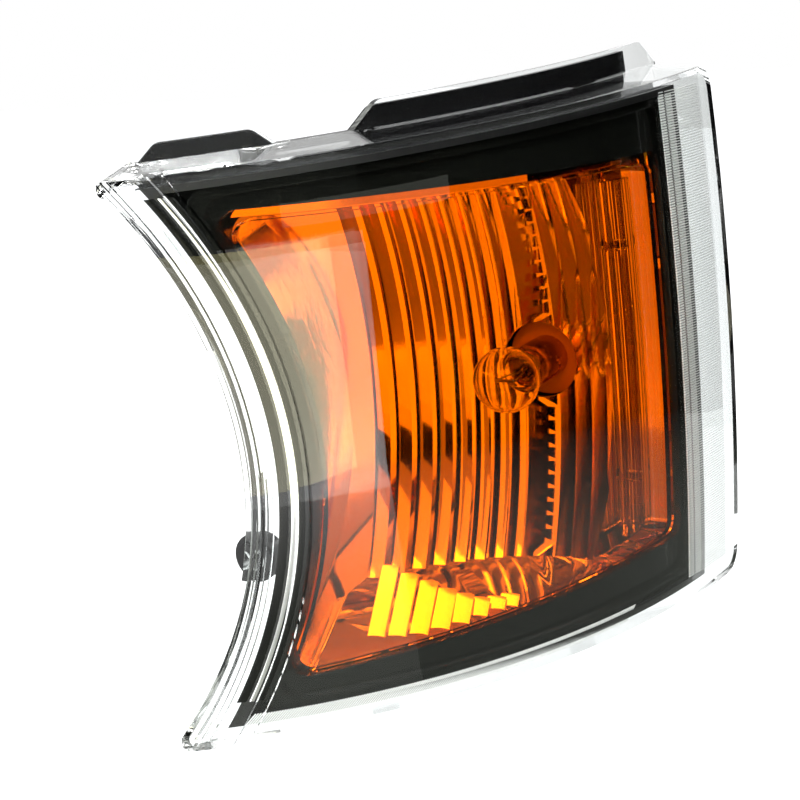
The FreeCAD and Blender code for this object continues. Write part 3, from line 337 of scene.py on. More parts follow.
# ---------------------------------------------------------------- shared geometry
@dataclass(frozen=True)
class Face:
    """The lens's curved face: one arc in plan about a vertical axis, lightly crowned.

    Attributes:
        axis: where the vertical axis stands.
        radius: radius of the arc.
        start_deg: way the face looks at station 0, from -Y towards +X.
        crown: radius of the crown from top to bottom.
        top: its upper edge, half way along.
        bottom: its lower edge, half way along.
        rake_deg: how much both edges rise towards the outer end.
        length: station of its outer end.
    """

    axis: tuple[float, float] = (-125.8 * MM, 27.8 * MM)
    radius: float = 234 * MM
    start_deg: float = 26.5
    crown: float = 1335 * MM
    top: float = 95.8 * MM
    bottom: float = -104.8 * MM
    rake_deg: float = 2.5
    length: float = 255 * MM

    def heading(self, station: float) -> float:
        """Way the face looks at a station, in radians from -Y towards +X."""
        return math.radians(self.start_deg) + station / self.radius

    def rise(self, station: float) -> float:
        """Height that a raked edge has gained at a station, from half way along."""
        return self.radius * math.sin(self.heading(station) - self.heading(self.length / 2)) \
            * math.tan(math.radians(self.rake_deg))

    def sag(self, z: float) -> float:
        """How far the crown has fallen back at a height."""
        return self.crown - math.sqrt(self.crown ** 2 - z ** 2)

    def point(self, station: float, z: float, depth: float) -> Vector:
        """Place behind the face.

        Args:
            station: distance along the face.
            z: height.
            depth: distance behind the face.

        Returns:
            The place, in the row frame.
        """
        r = self.radius - self.sag(z) - depth
        turn = self.heading(station)
        return Vector((self.axis[0] + r * math.sin(turn), self.axis[1] - r * math.cos(turn), z))

    def normals(self, places: np.ndarray) -> np.ndarray:
        """True outward normals of the face and of every surface that runs behind it at one depth.

        Args:
            places: points, one to a row.

        Returns:
            Unit vectors, one to a row.
        """
        away = places[:, :2] - np.array(self.axis)
        reach = np.linalg.norm(away, axis=1, keepdims=True)
        lean = reach - self.radius + self.crown
        both = np.hstack((away / reach * lean, places[:, 2:]))
        return both / np.linalg.norm(both, axis=1, keepdims=True)


@dataclass(frozen=True)
class Hollow:
    """The round hollow that the inner edge follows, about a fore-and-aft axis.

    Attributes:
        x: where the axis lies.
        z: how high it lies.
        reach: surfaces farther away than this don't belong to the hollow.
    """

    x: float = -163.4 * MM
    z: float = -12.3 * MM
    reach: float = 200 * MM

    def normals(self, places: np.ndarray) -> np.ndarray:
        """True normals of every surface round the hollow's axis.

        Args:
            places: points, one to a row.

        Returns:
            Unit vectors, one to a row; nothing for points out of the hollow's reach.
        """
        away = np.stack((places[:, 0] - self.x, np.zeros(len(places)), places[:, 2] - self.z), axis=1)
        radius = np.linalg.norm(away, axis=1, keepdims=True)
        return np.where(radius < self.reach, away / radius, 0.0)

    def point(self, radius: float, z: float, depth: float) -> Vector:
        """Place behind the face at a radius about the hollow's axis.

        Args:
            radius: distance from the axis.
            z: height.
            depth: distance behind the face.

        Returns:
            The place, in the row frame.
        """
        x = self.x + math.sqrt(radius ** 2 - (z - self.z) ** 2)
        reach = FACE.radius - FACE.sag(z) - depth
        aside = x - FACE.axis[0]
        return Vector((x, FACE.axis[1] - math.sqrt(reach ** 2 - aside ** 2), z))


@dataclass(frozen=True)
class Flutes:
    """Polish of the reflector's upright flutes.

    The construction's flutes are flat across. These normals make each look like a roll, a shallow barrel
    that follows the bowl in plan; the mesh keeps its shape.

    Attributes:
        axis_x: the flutes are counted from here.
        axis_z: height of the bowl's axis.
        pitch: width of a flute.
        focus: focal length of the bowl in plan.
        profile_r: radius of the upright profile.
        steepest: sine of the profile's steepest lean.
        roll_deg: how far a roll turns from its middle to its edge.
        follow: share of the bowl's own turn that a roll takes.
        match_deg: largest angle between a facet and the profile that it stands for.
        side_x: the side walls and risers lie on this side of here.
        side_face: least share of a side wall's normal that points sideways.
        side_back: a side wall's normal points backwards by no more than this.
        side_deg: way that the polish of the side walls looks, from -Y towards +X.
        side_ease: how much of that way they take.
    """

    axis_x: float = 44 * MM
    axis_z: float = -5 * MM
    pitch: float = 7 * MM
    focus: float = 40 * MM
    profile_r: float = 161.6 * MM
    steepest: float = 0.9
    roll_deg: float = 8.0
    follow: float = 0.75
    match_deg: float = 4.0
    side_x: float = 60 * MM
    side_face: float = 0.5
    side_back: float = 0.6
    side_deg: float = 20.0
    side_ease: float = 0.9

    def lean(self, places: np.ndarray) -> np.ndarray:
        """How far the upright profile leans at each place, in radians."""
        sine = (places[:, 2] - self.axis_z) / self.profile_r
        return np.arcsin(np.clip(sine, -self.steepest, self.steepest))

    def normals(self, places: np.ndarray, middles: np.ndarray) -> np.ndarray:
        """Normals of the rolls, towards the front.

        Args:
            places: points, one to a row.
            middles: middle of the facet that each point belongs to.

        Returns:
            Unit vectors, one to a row.
        """
        flute = np.floor((middles[:, 0] - self.axis_x) / self.pitch) + 0.5
        centre = self.axis_x + flute * self.pitch
        across = np.clip((places[:, 0] - centre) / (self.pitch / 2), -1, 1)
        turn = np.arctan((self.axis_x - centre) / (2 * self.focus)) * self.follow
        turn = turn + across * math.radians(self.roll_deg)
        lean = self.lean(places)
        return np.stack((np.sin(turn), -np.cos(lean) * np.cos(turn), -np.sin(lean) * np.cos(turn)), axis=1)

    def rolled(self, flat: np.ndarray, middles: np.ndarray) -> np.ndarray:
        """Tell which facets belong to the rolls.

        Args:
            flat: the facets' normals, one to a row.
            middles: the facets' middles.

        Returns:
            True or False for each.
        """
        lean = self.lean(middles)
        along = -flat[:, 1] * np.cos(lean) - flat[:, 2] * np.sin(lean)
        return along > math.cos(math.radians(self.match_deg))

    def beside(self, flat: np.ndarray, middles: np.ndarray) -> np.ndarray:
        """Tell from their normals and middles which facets are side walls or risers between rolls."""
        sideways = np.abs(flat[:, 0]) > self.side_face
        return sideways & (middles[:, 0] < self.side_x) & (flat[:, 1] < self.side_back)

    def eased(self, flat: np.ndarray) -> np.ndarray:
        """Normals that the side walls' polish shows in place of the facets' own.

        Args:
            flat: the facets' normals, one to a row.

        Returns:
            Unit vectors, one to a row.
        """
        side = math.radians(self.side_deg)
        facing = np.array([[math.sin(side), -math.cos(side), 0.0]])
        both = (1 - self.side_ease) * flat + self.side_ease * facing
        return both / np.linalg.norm(both, axis=1, keepdims=True)


FACE = Face()
HOLLOW = Hollow()
FLUTES = Flutes()


def evenly(start: float, end: float, steps: int) -> list[float]:
    """Give evenly spaced values from start to end, one more than the steps."""
    return [start + (end - start) * step / steps for step in range(steps + 1)]


def link(name: str, data: bpy.types.ID) -> bpy.types.Object:
    """Put a mesh, a lamp or a camera in the scene as an object at the origin.

    Args:
        name: the object's name.
        data: what it shows.

    Returns:
        The object.
    """
    item = bpy.data.objects.new(name, data)
    bpy.context.scene.collection.objects.link(item)
    return item


def grid(name: str, rows: list[list[Vector]], normals: list[Triple] | None = None) -> bpy.types.Object:
    """Make a smooth sheet from rows of points.

    Args:
        name: its name.
        rows: points, equally many in every row; the sheet faces the side from which a row runs from left
            to right and each next row lies higher.
        normals: normal of each point in the same order, for a polish that differs from the facets.

    Returns:
        The sheet.
    """
    wide = len(rows[0])
    points = [point for row in rows for point in row]
    faces = [(low + i, low + i + 1, low + i + 1 + wide, low + i + wide)
             for low in range(0, len(points) - wide, wide) for i in range(wide - 1)]
    mesh = bpy.data.meshes.new(name)
    mesh.from_pydata(points, [], faces)
    mesh.shade_smooth()
    if normals:
        mesh.normals_split_custom_set_from_vertices(normals)
    return link(name, mesh)


def corner_data(mesh: bpy.types.Mesh) -> tuple[np.ndarray, np.ndarray, np.ndarray]:
    """Place, facet normal and facet middle of every face corner.

    Args:
        mesh: the mesh.

    Returns:
        Three arrays with a row for each corner.
    """
    points = np.zeros(len(mesh.vertices) * 3)
    mesh.vertices.foreach_get("co", points)
    corner = np.zeros(len(mesh.loops), dtype=np.int64)
    mesh.loops.foreach_get("vertex_index", corner)
    sides = np.zeros(len(mesh.polygons), dtype=np.int64)
    mesh.polygons.foreach_get("loop_total", sides)
    normals = np.zeros(len(mesh.polygons) * 3)
    mesh.polygons.foreach_get("normal", normals)
    middles = np.zeros(len(mesh.polygons) * 3)
    mesh.polygons.foreach_get("center", middles)
    owner = np.repeat(np.arange(len(sides)), sides)
    return points.reshape(-1, 3)[corner], normals.reshape(-1, 3)[owner], middles.reshape(-1, 3)[owner]


def true_normals(mesh: bpy.types.Mesh, near_deg: float = 3.5) -> None:
    """Give facets of the face and of the hollowed edge the normals of the true curves.

    Args:
        mesh: the mesh.
        near_deg: largest angle between a facet and the curve that it stands for.
    """
    places, flat, _ = corner_data(mesh)
    chosen = np.zeros_like(flat)
    for curve in (FACE.normals(places), HOLLOW.normals(places)):
        along = np.sum(flat * curve, axis=1)
        near = np.abs(along) > math.cos(math.radians(near_deg))
        chosen[near] = curve[near] * np.sign(along[near])[:, None]
    mesh.normals_split_custom_set(chosen.tolist())


def fluted_normals(mesh: bpy.types.Mesh) -> None:
    """Make the reflector's flat flutes look rolled and its side walls eased, by their normals alone.

    Args:
        mesh: the reflector's mesh.
    """
    places, flat, middles = corner_data(mesh)
    chosen = np.where(FLUTES.rolled(flat, middles)[:, None], FLUTES.normals(places, middles), 0.0)
    beside = FLUTES.beside(flat, middles)
    chosen[beside] = FLUTES.eased(flat)[beside]
    mesh.normals_split_custom_set(chosen.tolist())


def dress(piece: bpy.types.Object, finish: Finish) -> None:
    """Give every face of a piece one finish.

    Args:
        piece: the piece.
        finish: its finish.
    """
    material = finish.make()
    piece.data.materials.clear()
    piece.data.materials.append(material)
    piece.data.polygons.foreach_set("material_index", [0] * len(piece.data.polygons))


class Pattern:
    """A geometry tree with named sizes, for what repeats."""

    def __init__(self, name: str, **sizes: object) -> None:
        """Start the tree.

        Args:
            name: the tree's name, and its piece's.
            sizes: name and value of each input; a whole number makes a whole-number input.
        """
        self.name = name
        self.sizes = sizes
        self.tree = bpy.data.node_groups.new(name, "GeometryNodeTree")
        kinds = {int: "NodeSocketInt", float: "NodeSocketFloat", bpy.types.Material: "NodeSocketMaterial"}
        for size, value in sizes.items():
            self.tree.interface.new_socket(size, in_out="INPUT", socket_type=kinds[type(value)])
        self.tree.interface.new_socket("Geometry", in_out="OUTPUT", socket_type="NodeSocketGeometry")
        self.given = self.tree.nodes.new("NodeGroupInput").outputs

    def node(self, kind: str, inputs: dict | None = None, **settings: object) -> bpy.types.NodeSocket:
        """Add a node and give its first output."""
        return add_node(self.tree, kind, inputs, **settings).outputs[0]

    def math(self, operation: str, *values: Feed) -> bpy.types.NodeSocket:
        """Add an arithmetic step on numbers or sockets and give its result."""
        return self.node("ShaderNodeMath", dict(enumerate(values)), operation=operation)

    def vector(self, x: Feed = 0.0, y: Feed = 0.0, z: Feed = 0.0) -> bpy.types.NodeSocket:
        """Join three numbers or sockets into a vector."""
        return self.node("ShaderNodeCombineXYZ", {0: x, 1: y, 2: z})

    def place(self) -> tuple[bpy.types.NodeSocket, ...]:
        """Give the three coordinates of a point."""
        position = self.node("GeometryNodeInputPosition")
        return tuple(add_node(self.tree, "ShaderNodeSeparateXYZ", {0: position}).outputs)

    def bead(self, path: bpy.types.NodeSocket, radius: Feed, sides: int = 4) -> bpy.types.NodeSocket:
        """Sweep a bead with closed ends along a path.

        Args:
            path: the curve that it follows.
            radius: its radius.
            sides: how many sides its section has.

        Returns:
            The bead's socket.
        """
        section = self.node("GeometryNodeCurvePrimitiveCircle", {"Resolution": sides, "Radius": radius})
        return self.node("GeometryNodeCurveToMesh", {
            "Curve": path, "Profile Curve": section, "Fill Caps": True})

    def bake(self, geometry: bpy.types.NodeSocket) -> bpy.types.Object:
        """End the tree and turn its result into a plain mesh.

        Args:
            geometry: what the tree makes.

        Returns:
            The piece.
        """
        solid = self.node("GeometryNodeRealizeInstances", {0: geometry})
        solid = self.node("GeometryNodeSetMaterial", {"Geometry": solid, "Material": self.given["Material"]})
        add_node(self.tree, "NodeGroupOutput", {0: solid})
        piece = link(self.name, bpy.data.meshes.new(self.name))
        modifier = piece.modifiers.new(self.name, "NODES")
        modifier.node_group = self.tree
        for socket in self.tree.interface.items_tree:
            if socket.in_out == "INPUT":
                modifier[socket.identifier] = self.sizes[socket.name]
        shown = piece.evaluated_get(bpy.context.evaluated_depsgraph_get())
        mesh = bpy.data.meshes.new_from_object(shown)
        piece.modifiers.clear()
        piece.data = mesh
        return piece


@dataclass
class Assembly:
    """A group of pieces on one body.

    Attributes:
        frame: the construction, as it was loaded.
        body: the body that the pieces ride on.
    """

    frame: dict
    body: Body = Body.LAMP

    def polished(self, node: str, slot: Slot, finish: Finish, sharp_deg: float = 25.0,
                 curves: Callable[[bpy.types.Mesh], None] | None = None) -> bpy.types.Object:
        """Stand a smooth-shaded copy in for a construction solid.

        Args:
            node: the solid's name.
            slot: not used.
            finish: its finish.
            sharp_deg: faces that meet at a larger angle keep a hard edge.
            curves: sets the normals of the true curves.

        Returns:
            The copy.
        """
        mesh = self.frame["nodes"][node].data.copy()
        work = bmesh.new()
        work.from_mesh(mesh)
        bmesh.ops.remove_doubles(work, verts=work.verts, dist=WELD)
        bmesh.ops.dissolve_degenerate(work, edges=work.edges, dist=WELD)
        work.to_mesh(mesh)
        work.free()
        mesh.shade_smooth()
        mesh.set_sharp_from_angle(angle=math.radians(sharp_deg))
        if curves:
            curves(mesh)
        piece = link(node + "_finished", mesh)
        dress(piece, finish)
        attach(piece, self.body.value)
        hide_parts(node)
        LOG.info("%s finished", node)
        return piece

    def add(self, piece: bpy.types.Object, slot: Slot) -> None:
        """Ride a new piece on this assembly's body.

        Args:
            piece: the piece.
            slot: not used.
        """
        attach(piece, self.body.value)
        LOG.info("%s added", piece.name)

    def sheet(self, name: str, rows: list[list[Vector]], slot: Slot, finish: Finish,
              normals: list[Triple] | None = None) -> None:
        """Make, dress and add a smooth sheet.

        Args:
            name: its name.
            rows: its points.
            slot: the record slot it takes its finish from.
            finish: its finish.
            normals: normals of its polish, where they differ from the sheet's own.
        """
        piece = grid(name, rows, normals)
        dress(piece, finish)
        self.add(piece, slot)


# ---------------------------------------------------------------- assemblies
@dataclass
class Optics(Assembly):
    """Lens, filter, bezel and reflector.

    The rim and the facets of the bowl are mirrors whose set normals, not their sheets, choose what they show.

    Attributes:
        wall: wall of the lens.
        rib_pitch: pitch of the flange's ribs, which lie from rib_low to rib_high.
        rib_sink: share of its own radius by which a rib's middle lies behind the wall.
        band_low: foot of the margin's bands, which end at band_high.
        band_sink: how far they lie inside the wall.
        rim_start: station where the bright rim of the mouth starts; it ends at rim_end.
        rim_z: its lower edge, half way along.
        rim_height: how high it stands.
        rim_depth: how far it lies behind the face.
        rim_tilt_deg: how much it rises towards the outer end.
        rim_facing_deg: way its polish looks, from -Y towards +X.
        step_x_mm: foot of each of the bowl's facets, with step_y_mm; step_height_mm is how high it stands.
        step_width: width of a facet.
        step_lean: how far it leans back for each unit of height.
        step_foot: height of the first foot; each next one is higher by step_climb.
        step_hollow: how far a facet's middle lies behind its edges.
        step_facing_deg: way its polish looks.
        step_spread_deg: how much that turns from the middle to an edge.
        step_lift_deg: how far up its polish looks at the foot; at the top this is less by step_fade_deg.
    """

    wall: float = 2.6 * MM
    rib_pitch: float = 1.0 * MM
    rib_low: float = -92 * MM
    rib_high: float = 96 * MM
    rib_sink: float = 0.8
    band_low: float = -94 * MM
    band_high: float = 84 * MM
    band_sink: float = 0.3 * MM
    rim_start: float = 22 * MM
    rim_end: float = 148 * MM
    rim_z: float = 71.8 * MM
    rim_height: float = 4.4 * MM
    rim_depth: float = 16.2 * MM
    rim_tilt_deg: float = -1.1
    rim_facing_deg: float = 16.0
    step_x_mm: tuple[float, ...] = (13.3, 21.4, 29.0, 34.8, 40.0, 44.0, 47.9, 51.9)
    step_y_mm: tuple[float, ...] = (-118.4, -117.8, -115.5, -110.0, -104.5, -97.5, -91.0, -88.0)
    step_height_mm: tuple[float, ...] = (21.5, 18.9, 16.0, 12.1, 8.9, 5.6, 3.9, 3.7)
    step_width: float = 7.4 * MM
    step_lean: float = 0.76
    step_foot: float = -86.1 * MM
    step_climb: float = 0.55 * MM
    step_hollow: float = 0.9 * MM
    step_facing_deg: float = 20.0
    step_spread_deg: float = 9.0
    step_lift_deg: float = 31.0
    step_fade_deg: float = 5.0

    def flange_ribs(self, name: str, start: float, end: float, rib: float, slot: Slot,
                    finish: Finish) -> None:
        """Fine level ribs inside the clear flange beyond the bezel.

        Args:
            name: name of this column of ribs.
            start: station where the ribs start.
            end: station where they end.
            rib: their radius.
            slot: the record slot they take their finish from.
            finish: their finish.
        """
        turn = FACE.heading(start)
        pattern = Pattern(
            name, Count=int((self.rib_high - self.rib_low) / self.rib_pitch), Low=self.rib_low,
            Pitch=self.rib_pitch, Radius=FACE.radius - self.wall - self.rib_sink * rib,
            Start=turn - math.pi / 2, Sweep=FACE.heading(end) - turn, Rib=rib, Crown=FACE.crown,
            AxisX=FACE.axis[0], AxisY=FACE.axis[1], Material=finish.make())
        given = pattern.given
        path = pattern.node("GeometryNodeCurveArc", {
            "Resolution": 6, "Radius": given["Radius"], "Start Angle": given["Start"],
            "Sweep Angle": given["Sweep"]})
        line = pattern.node("GeometryNodeMeshLine", {"Count": given["Count"],
                                                     "Start Location": pattern.vector(z=given["Low"]),
                                                     "Offset": pattern.vector(z=given["Pitch"])})
        ribs = pattern.node("GeometryNodeInstanceOnPoints", {"Points": line,
                                                             "Instance": pattern.bead(path, given["Rib"])})
        ribs = pattern.node("GeometryNodeRealizeInstances", {0: ribs})
        x, y, z = pattern.place()
        crown = pattern.math("MULTIPLY", given["Crown"], given["Crown"])
        reach = pattern.math("SQRT", pattern.math("SUBTRACT", crown, pattern.math("MULTIPLY", z, z)))
        sag = pattern.math("SUBTRACT", reach, given["Crown"])
        outward = pattern.node("ShaderNodeVectorMath", {0: pattern.vector(x, y)}, operation="NORMALIZE")
        shift = pattern.node("ShaderNodeVectorMath", {0: outward, "Scale": sag}, operation="SCALE")
        ribs = pattern.node("GeometryNodeSetPosition", {"Geometry": ribs, "Offset": shift})
        axis = pattern.vector(given["AxisX"], given["AxisY"])
        ribs = pattern.node("GeometryNodeTransform", {"Geometry": ribs, "Translation": axis})
        self.add(pattern.bake(ribs), slot)

    def margin_band(self, name: str, radius: float, width: float, bulge: float, slot: Slot,
                    finish: Finish) -> None:
        """Band that follows the hollowed edge inside the lens's wall.

        Args:
            name: its name.
            radius: where it starts, from the hollow's axis.
            width: how wide it is.
            bulge: how far its middle stands forward.
            slot: the record slot it takes its finish from.
            finish: its finish.
        """
        inside = self.wall - self.band_sink
        across = [(share, inside + bulge * (2 * share - 1) ** 2) for share in evenly(0, 1, 6)]
        rows = [[HOLLOW.point(radius + share * width, z, depth) for share, depth in across]
                for z in evenly(self.band_low, self.band_high, 80)]
        self.sheet(name, rows, slot, finish)

    def mouth_rim(self) -> None:
        """Bright front of the reflector's mouth, seen through the filter's upper flange."""
        tilt = math.tan(math.radians(self.rim_tilt_deg)) / math.tan(math.radians(FACE.rake_deg))
        stations = evenly(self.rim_start, self.rim_end, 60)
        rows = [[FACE.point(station, z + FACE.rise(station) * tilt, self.rim_depth) for station in stations]
                for z in (self.rim_z, self.rim_z + self.rim_height)]
        facing = math.radians(self.rim_facing_deg)
        forward = (math.sin(facing), -math.cos(facing), 0.0)
        self.sheet("mouth_rim", rows, Slot.METALLISED, ALUMINISED, [forward] * (2 * len(stations)))

    def bowl_steps(self) -> None:
        """Leaning facets at the foot of the flutes, each lower than the one before."""
        for step, (x, y, height) in enumerate(zip(self.step_x_mm, self.step_y_mm, self.step_height_mm)):
            foot = Vector((x * MM, y * MM, self.step_foot + step * self.step_climb))
            rows = []
            normals = []
            for level in evenly(0, 1, 4):
                up = level * height * MM
                lift = math.radians(self.step_lift_deg - level * self.step_fade_deg)
                forward = math.cos(lift)
                rows.append([])
                for across in evenly(-1, 1, 4):
                    back = self.step_lean * up + self.step_hollow * (1 - across ** 2)
                    rows[-1].append(foot + Vector((across * self.step_width / 2, back, up)))
                    turn = math.radians(self.step_facing_deg - across * self.step_spread_deg)
                    normals.append((forward * math.sin(turn), -forward * math.cos(turn), math.sin(lift)))
            self.sheet(f"bowl_step_{step}", rows, Slot.METALLISED, ALUMINISED, normals)

    def build(self) -> None:
        """Finish the optical pieces."""
        self.polished("outer_lens", Slot.CLEAR, CLEAR_PC, curves=true_normals)
        self.flange_ribs("flange_ribs_near", 211.7 * MM, 215.0 * MM, 0.42 * MM, Slot.CLEAR, FROSTED_PC)
        self.flange_ribs("flange_serration", 214.8 * MM, 216.2 * MM, 0.2 * MM, Slot.BLACK, BLACK_PC)
        self.flange_ribs("flange_ribs_middle", 216.0 * MM, 224.2 * MM, 0.46 * MM, Slot.CLEAR, FROSTED_PC)
        self.flange_ribs("flange_ribs_far", 224.4 * MM, 243.0 * MM, 0.2 * MM, Slot.CLEAR, FROSTED_PC)
        self.margin_band("margin_band_wide", 169.8 * MM, 2.6 * MM, 0.1 * MM, Slot.BLACK, BLACK_PC)
        # Painted reflection: a mirror-bright bead that stands in for the bright line that the lens's stepped
        # edge reflects; the lamp has no such part.
        self.margin_band("margin_step_reflection", 173.2 * MM, 1.9 * MM, 0.08 * MM, Slot.METALLISED, ALUMINISED)
        self.margin_band("margin_band_narrow", 175.5 * MM, 1.6 * MM, 0.1 * MM, Slot.BLACK, BLACK_PC)
        self.mouth_rim()
        self.bowl_steps()
        self.polished("amber_filter", Slot.AMBER, AMBER_ACRYLIC, curves=true_normals)
        self.polished("bezel", Slot.BLACK, BLACK_PC, curves=true_normals)
        self.polished("reflector", Slot.METALLISED, ALUMINISED, curves=fluted_normals)
        self.polished("side_optic", Slot.CLEAR, CLEAR_PC, curves=true_normals)


@dataclass
class Shell(Assembly):
    """Housing, seal, fixings and breather.

    Attributes:
        rib: radius of the fine ribs, whose pitch is rib_pitch.
        rib_length: length of the ribs on top, which stand side by side from top_first to top_last.
        top_z: their height, half way along; they start at top_depth behind the face.
        key_start: station where the keying ribs start; they end at key_end.
        key_low: how far above the face's lower edge they start; they rise by key_height, at key_depth.
        stud_r: outer radius of a stud's thread, on a core of stud_core.
        stud_length: how far a stud stands out.
        stud_drop: the second stud is this much lower.
        thread_pitch: rise of the thread in one turn.
    """

    rib: float = 0.25 * MM
    rib_pitch: float = 1.0 * MM
    rib_length: float = 14 * MM
    top_first: float = -26 * MM
    top_last: float = 84 * MM
    top_z: float = 92.7 * MM
    top_depth: float = 6 * MM
    key_start: float = 12 * MM
    key_end: float = 172 * MM
    key_low: float = 5.4 * MM
    key_height: float = 5.0 * MM
    key_depth: float = 2.3 * MM
    stud_r: float = 3.0 * MM
    stud_core: float = 2.6 * MM
    stud_length: float = 22 * MM
    stud_drop: float = 78 * MM
    thread_pitch: float = 1.0 * MM

    def top_ribs(self) -> None:
        """Fine fore-and-aft ribs on the housing's top, under the rim of the lens."""
        middle = FACE.heading(FACE.length / 2)
        pattern = Pattern(
            "top_ribs", Count=int((self.top_last - self.top_first) / self.rib_pitch), First=self.top_first,
            Pitch=self.rib_pitch, Radius=FACE.radius - self.top_depth, Length=self.rib_length, Rib=self.rib,
            Level=self.top_z, Rake=math.tan(math.radians(FACE.rake_deg)), AxisX=FACE.axis[0],
            AxisY=FACE.axis[1], AlongX=math.cos(middle), AlongY=math.sin(middle), Material=BLACK_PP.make())
        given = pattern.given
        line = pattern.node("GeometryNodeMeshLine", {"Count": given["Count"],
                                                     "Start Location": pattern.vector(given["First"]),
                                                     "Offset": pattern.vector(given["Pitch"])})
        x, y, _ = pattern.place()
        aside = pattern.math("SUBTRACT", x, given["AxisX"])
        ahead = pattern.math("SUBTRACT", pattern.math("MULTIPLY", given["Radius"], given["Radius"]),
                             pattern.math("MULTIPLY", aside, aside))
        front = pattern.math("SUBTRACT", given["AxisY"], pattern.math("SQRT", ahead))
        line = pattern.node("GeometryNodeSetPosition", {"Geometry": line, "Offset": pattern.vector(y=front)})
        path = pattern.node("GeometryNodeCurvePrimitiveLine", {"End": pattern.vector(y=given["Length"])})
        path = pattern.node("GeometryNodeResampleCurve", {"Curve": path, "Count": 5})
        ribs = pattern.node("GeometryNodeInstanceOnPoints", {"Points": line,
                                                             "Instance": pattern.bead(path, given["Rib"])})
        ribs = pattern.node("GeometryNodeRealizeInstances", {0: ribs})
        across = pattern.math("MULTIPLY", pattern.math("SUBTRACT", x, given["AxisX"]), given["AlongX"])
        along = pattern.math("MULTIPLY", pattern.math("SUBTRACT", y, given["AxisY"]), given["AlongY"])
        rise = pattern.math("MULTIPLY", pattern.math("ADD", across, along), given["Rake"])
        level = pattern.math("ADD", rise, given["Level"])
        ribs = pattern.node("GeometryNodeSetPosition", {"Geometry": ribs, "Offset": pattern.vector(z=level)})
        self.add(pattern.bake(ribs), Slot.HOUSING)

    def keying_ribs(self) -> None:
        """Slanting ribs along the lower rim that key the bead of adhesive."""
        start = FACE.heading(self.key_start)
        end = FACE.heading(self.key_end)
        count = int((self.key_end - self.key_start) / self.rib_pitch)
        pattern = Pattern(
            "keying_ribs", Count=count, Radius=FACE.radius - self.key_depth, Start=start,
            Step=(end - start) / count, Low=FACE.bottom + self.key_low, Height=self.key_height, Rib=self.rib,
            Middle=FACE.heading(FACE.length / 2), Rake=FACE.radius * math.tan(math.radians(FACE.rake_deg)),
            Sag=(FACE.bottom ** 2) / (2 * FACE.crown), AxisX=FACE.axis[0], AxisY=FACE.axis[1],
            Material=FROSTED_PC.make())
        given = pattern.given
        line = pattern.node("GeometryNodeMeshLine", {"Count": given["Count"]})
        passed = pattern.math("MULTIPLY", pattern.node("GeometryNodeInputIndex"), given["Step"])
        turn = pattern.math("ADD", given["Start"], passed)
        reach = pattern.math("SUBTRACT", given["Radius"], given["Sag"])
        aside = pattern.math("MULTIPLY", reach, pattern.math("SINE", turn))
        ahead = pattern.math("MULTIPLY", reach, pattern.math("COSINE", turn))
        beyond = pattern.math("SINE", pattern.math("SUBTRACT", turn, given["Middle"]))
        rise = pattern.math("MULTIPLY", given["Rake"], beyond)
        foot = pattern.vector(pattern.math("ADD", given["AxisX"], aside),
                              pattern.math("SUBTRACT", given["AxisY"], ahead),
                              pattern.math("ADD", given["Low"], rise))
        line = pattern.node("GeometryNodeSetPosition", {"Geometry": line, "Position": foot})
        path = pattern.node("GeometryNodeCurvePrimitiveLine",
                            {"End": pattern.vector(x=given["Height"], z=given["Height"])})
        ribs = pattern.node("GeometryNodeInstanceOnPoints", {
            "Points": line, "Instance": pattern.bead(path, given["Rib"]), "Rotation": pattern.vector(z=turn)})
        self.add(pattern.bake(ribs), Slot.CLEAR)

    def studs(self) -> None:
        """Both threaded studs."""
        pattern = Pattern(
            "threaded_studs", Turns=self.stud_length / self.thread_pitch, Length=self.stud_length,
            Core=self.stud_core, Crest=(self.stud_r - self.stud_core), Spacing=-self.stud_drop,
            Material=ZINC_PLATE.make())
        given = pattern.given
        path = pattern.node("GeometryNodeCurveSpiral", {
            "Resolution": 24, "Rotations": given["Turns"], "Start Radius": given["Core"],
            "End Radius": given["Core"], "Height": given["Length"]})
        thread = pattern.bead(path, given["Crest"], sides=3)
        core = pattern.node("GeometryNodeCurvePrimitiveLine", {"End": pattern.vector(z=given["Length"])})
        core = pattern.bead(core, given["Core"], sides=32)
        stud = add_node(pattern.tree, "GeometryNodeJoinGeometry", {0: thread})
        pattern.tree.links.new(core, stud.inputs[0])
        upright = pattern.node("GeometryNodeTransform", {"Geometry": stud.outputs[0],
                                                         "Rotation": (-math.pi / 2, 0.0, 0.0)})
        line = pattern.node("GeometryNodeMeshLine", {
            "Count": 2, "Offset": pattern.vector(z=given["Spacing"])})
        studs = pattern.node("GeometryNodeInstanceOnPoints", {"Points": line, "Instance": upright})
        piece = pattern.bake(studs)
        piece.data.shade_smooth()
        piece.data.set_sharp_from_angle(angle=math.radians(30))
        self.add(piece, Slot.ZINC)
        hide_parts("mounting_studs")

    def build(self) -> None:
        """Finish the housing and what is fixed to it."""
        self.polished("housing", Slot.HOUSING, BLACK_PP, curves=true_normals)
        self.polished("side_ear", Slot.HOUSING, BLACK_PP)
        self.polished("lens_seal", Slot.ADHESIVE, POLYURETHANE)
        self.top_ribs()
        self.keying_ribs()
        self.studs()
        for node in ("locating_dowel", "ear_spacer", "bezel_pins", "reflector_screws"):
            self.polished(node, Slot.ZINC, ZINC_PLATE)
        for node in ("ear_bush", "rest_buffers"):
            self.polished(node, Slot.RUBBER, EPDM)
        self.polished("filter_stakes", Slot.BLACK, BLACK_PC)
        self.polished("breather_cap", Slot.HOUSING, BLACK_PP)
        self.polished("breather_membrane", Slot.MEMBRANE, PTFE)


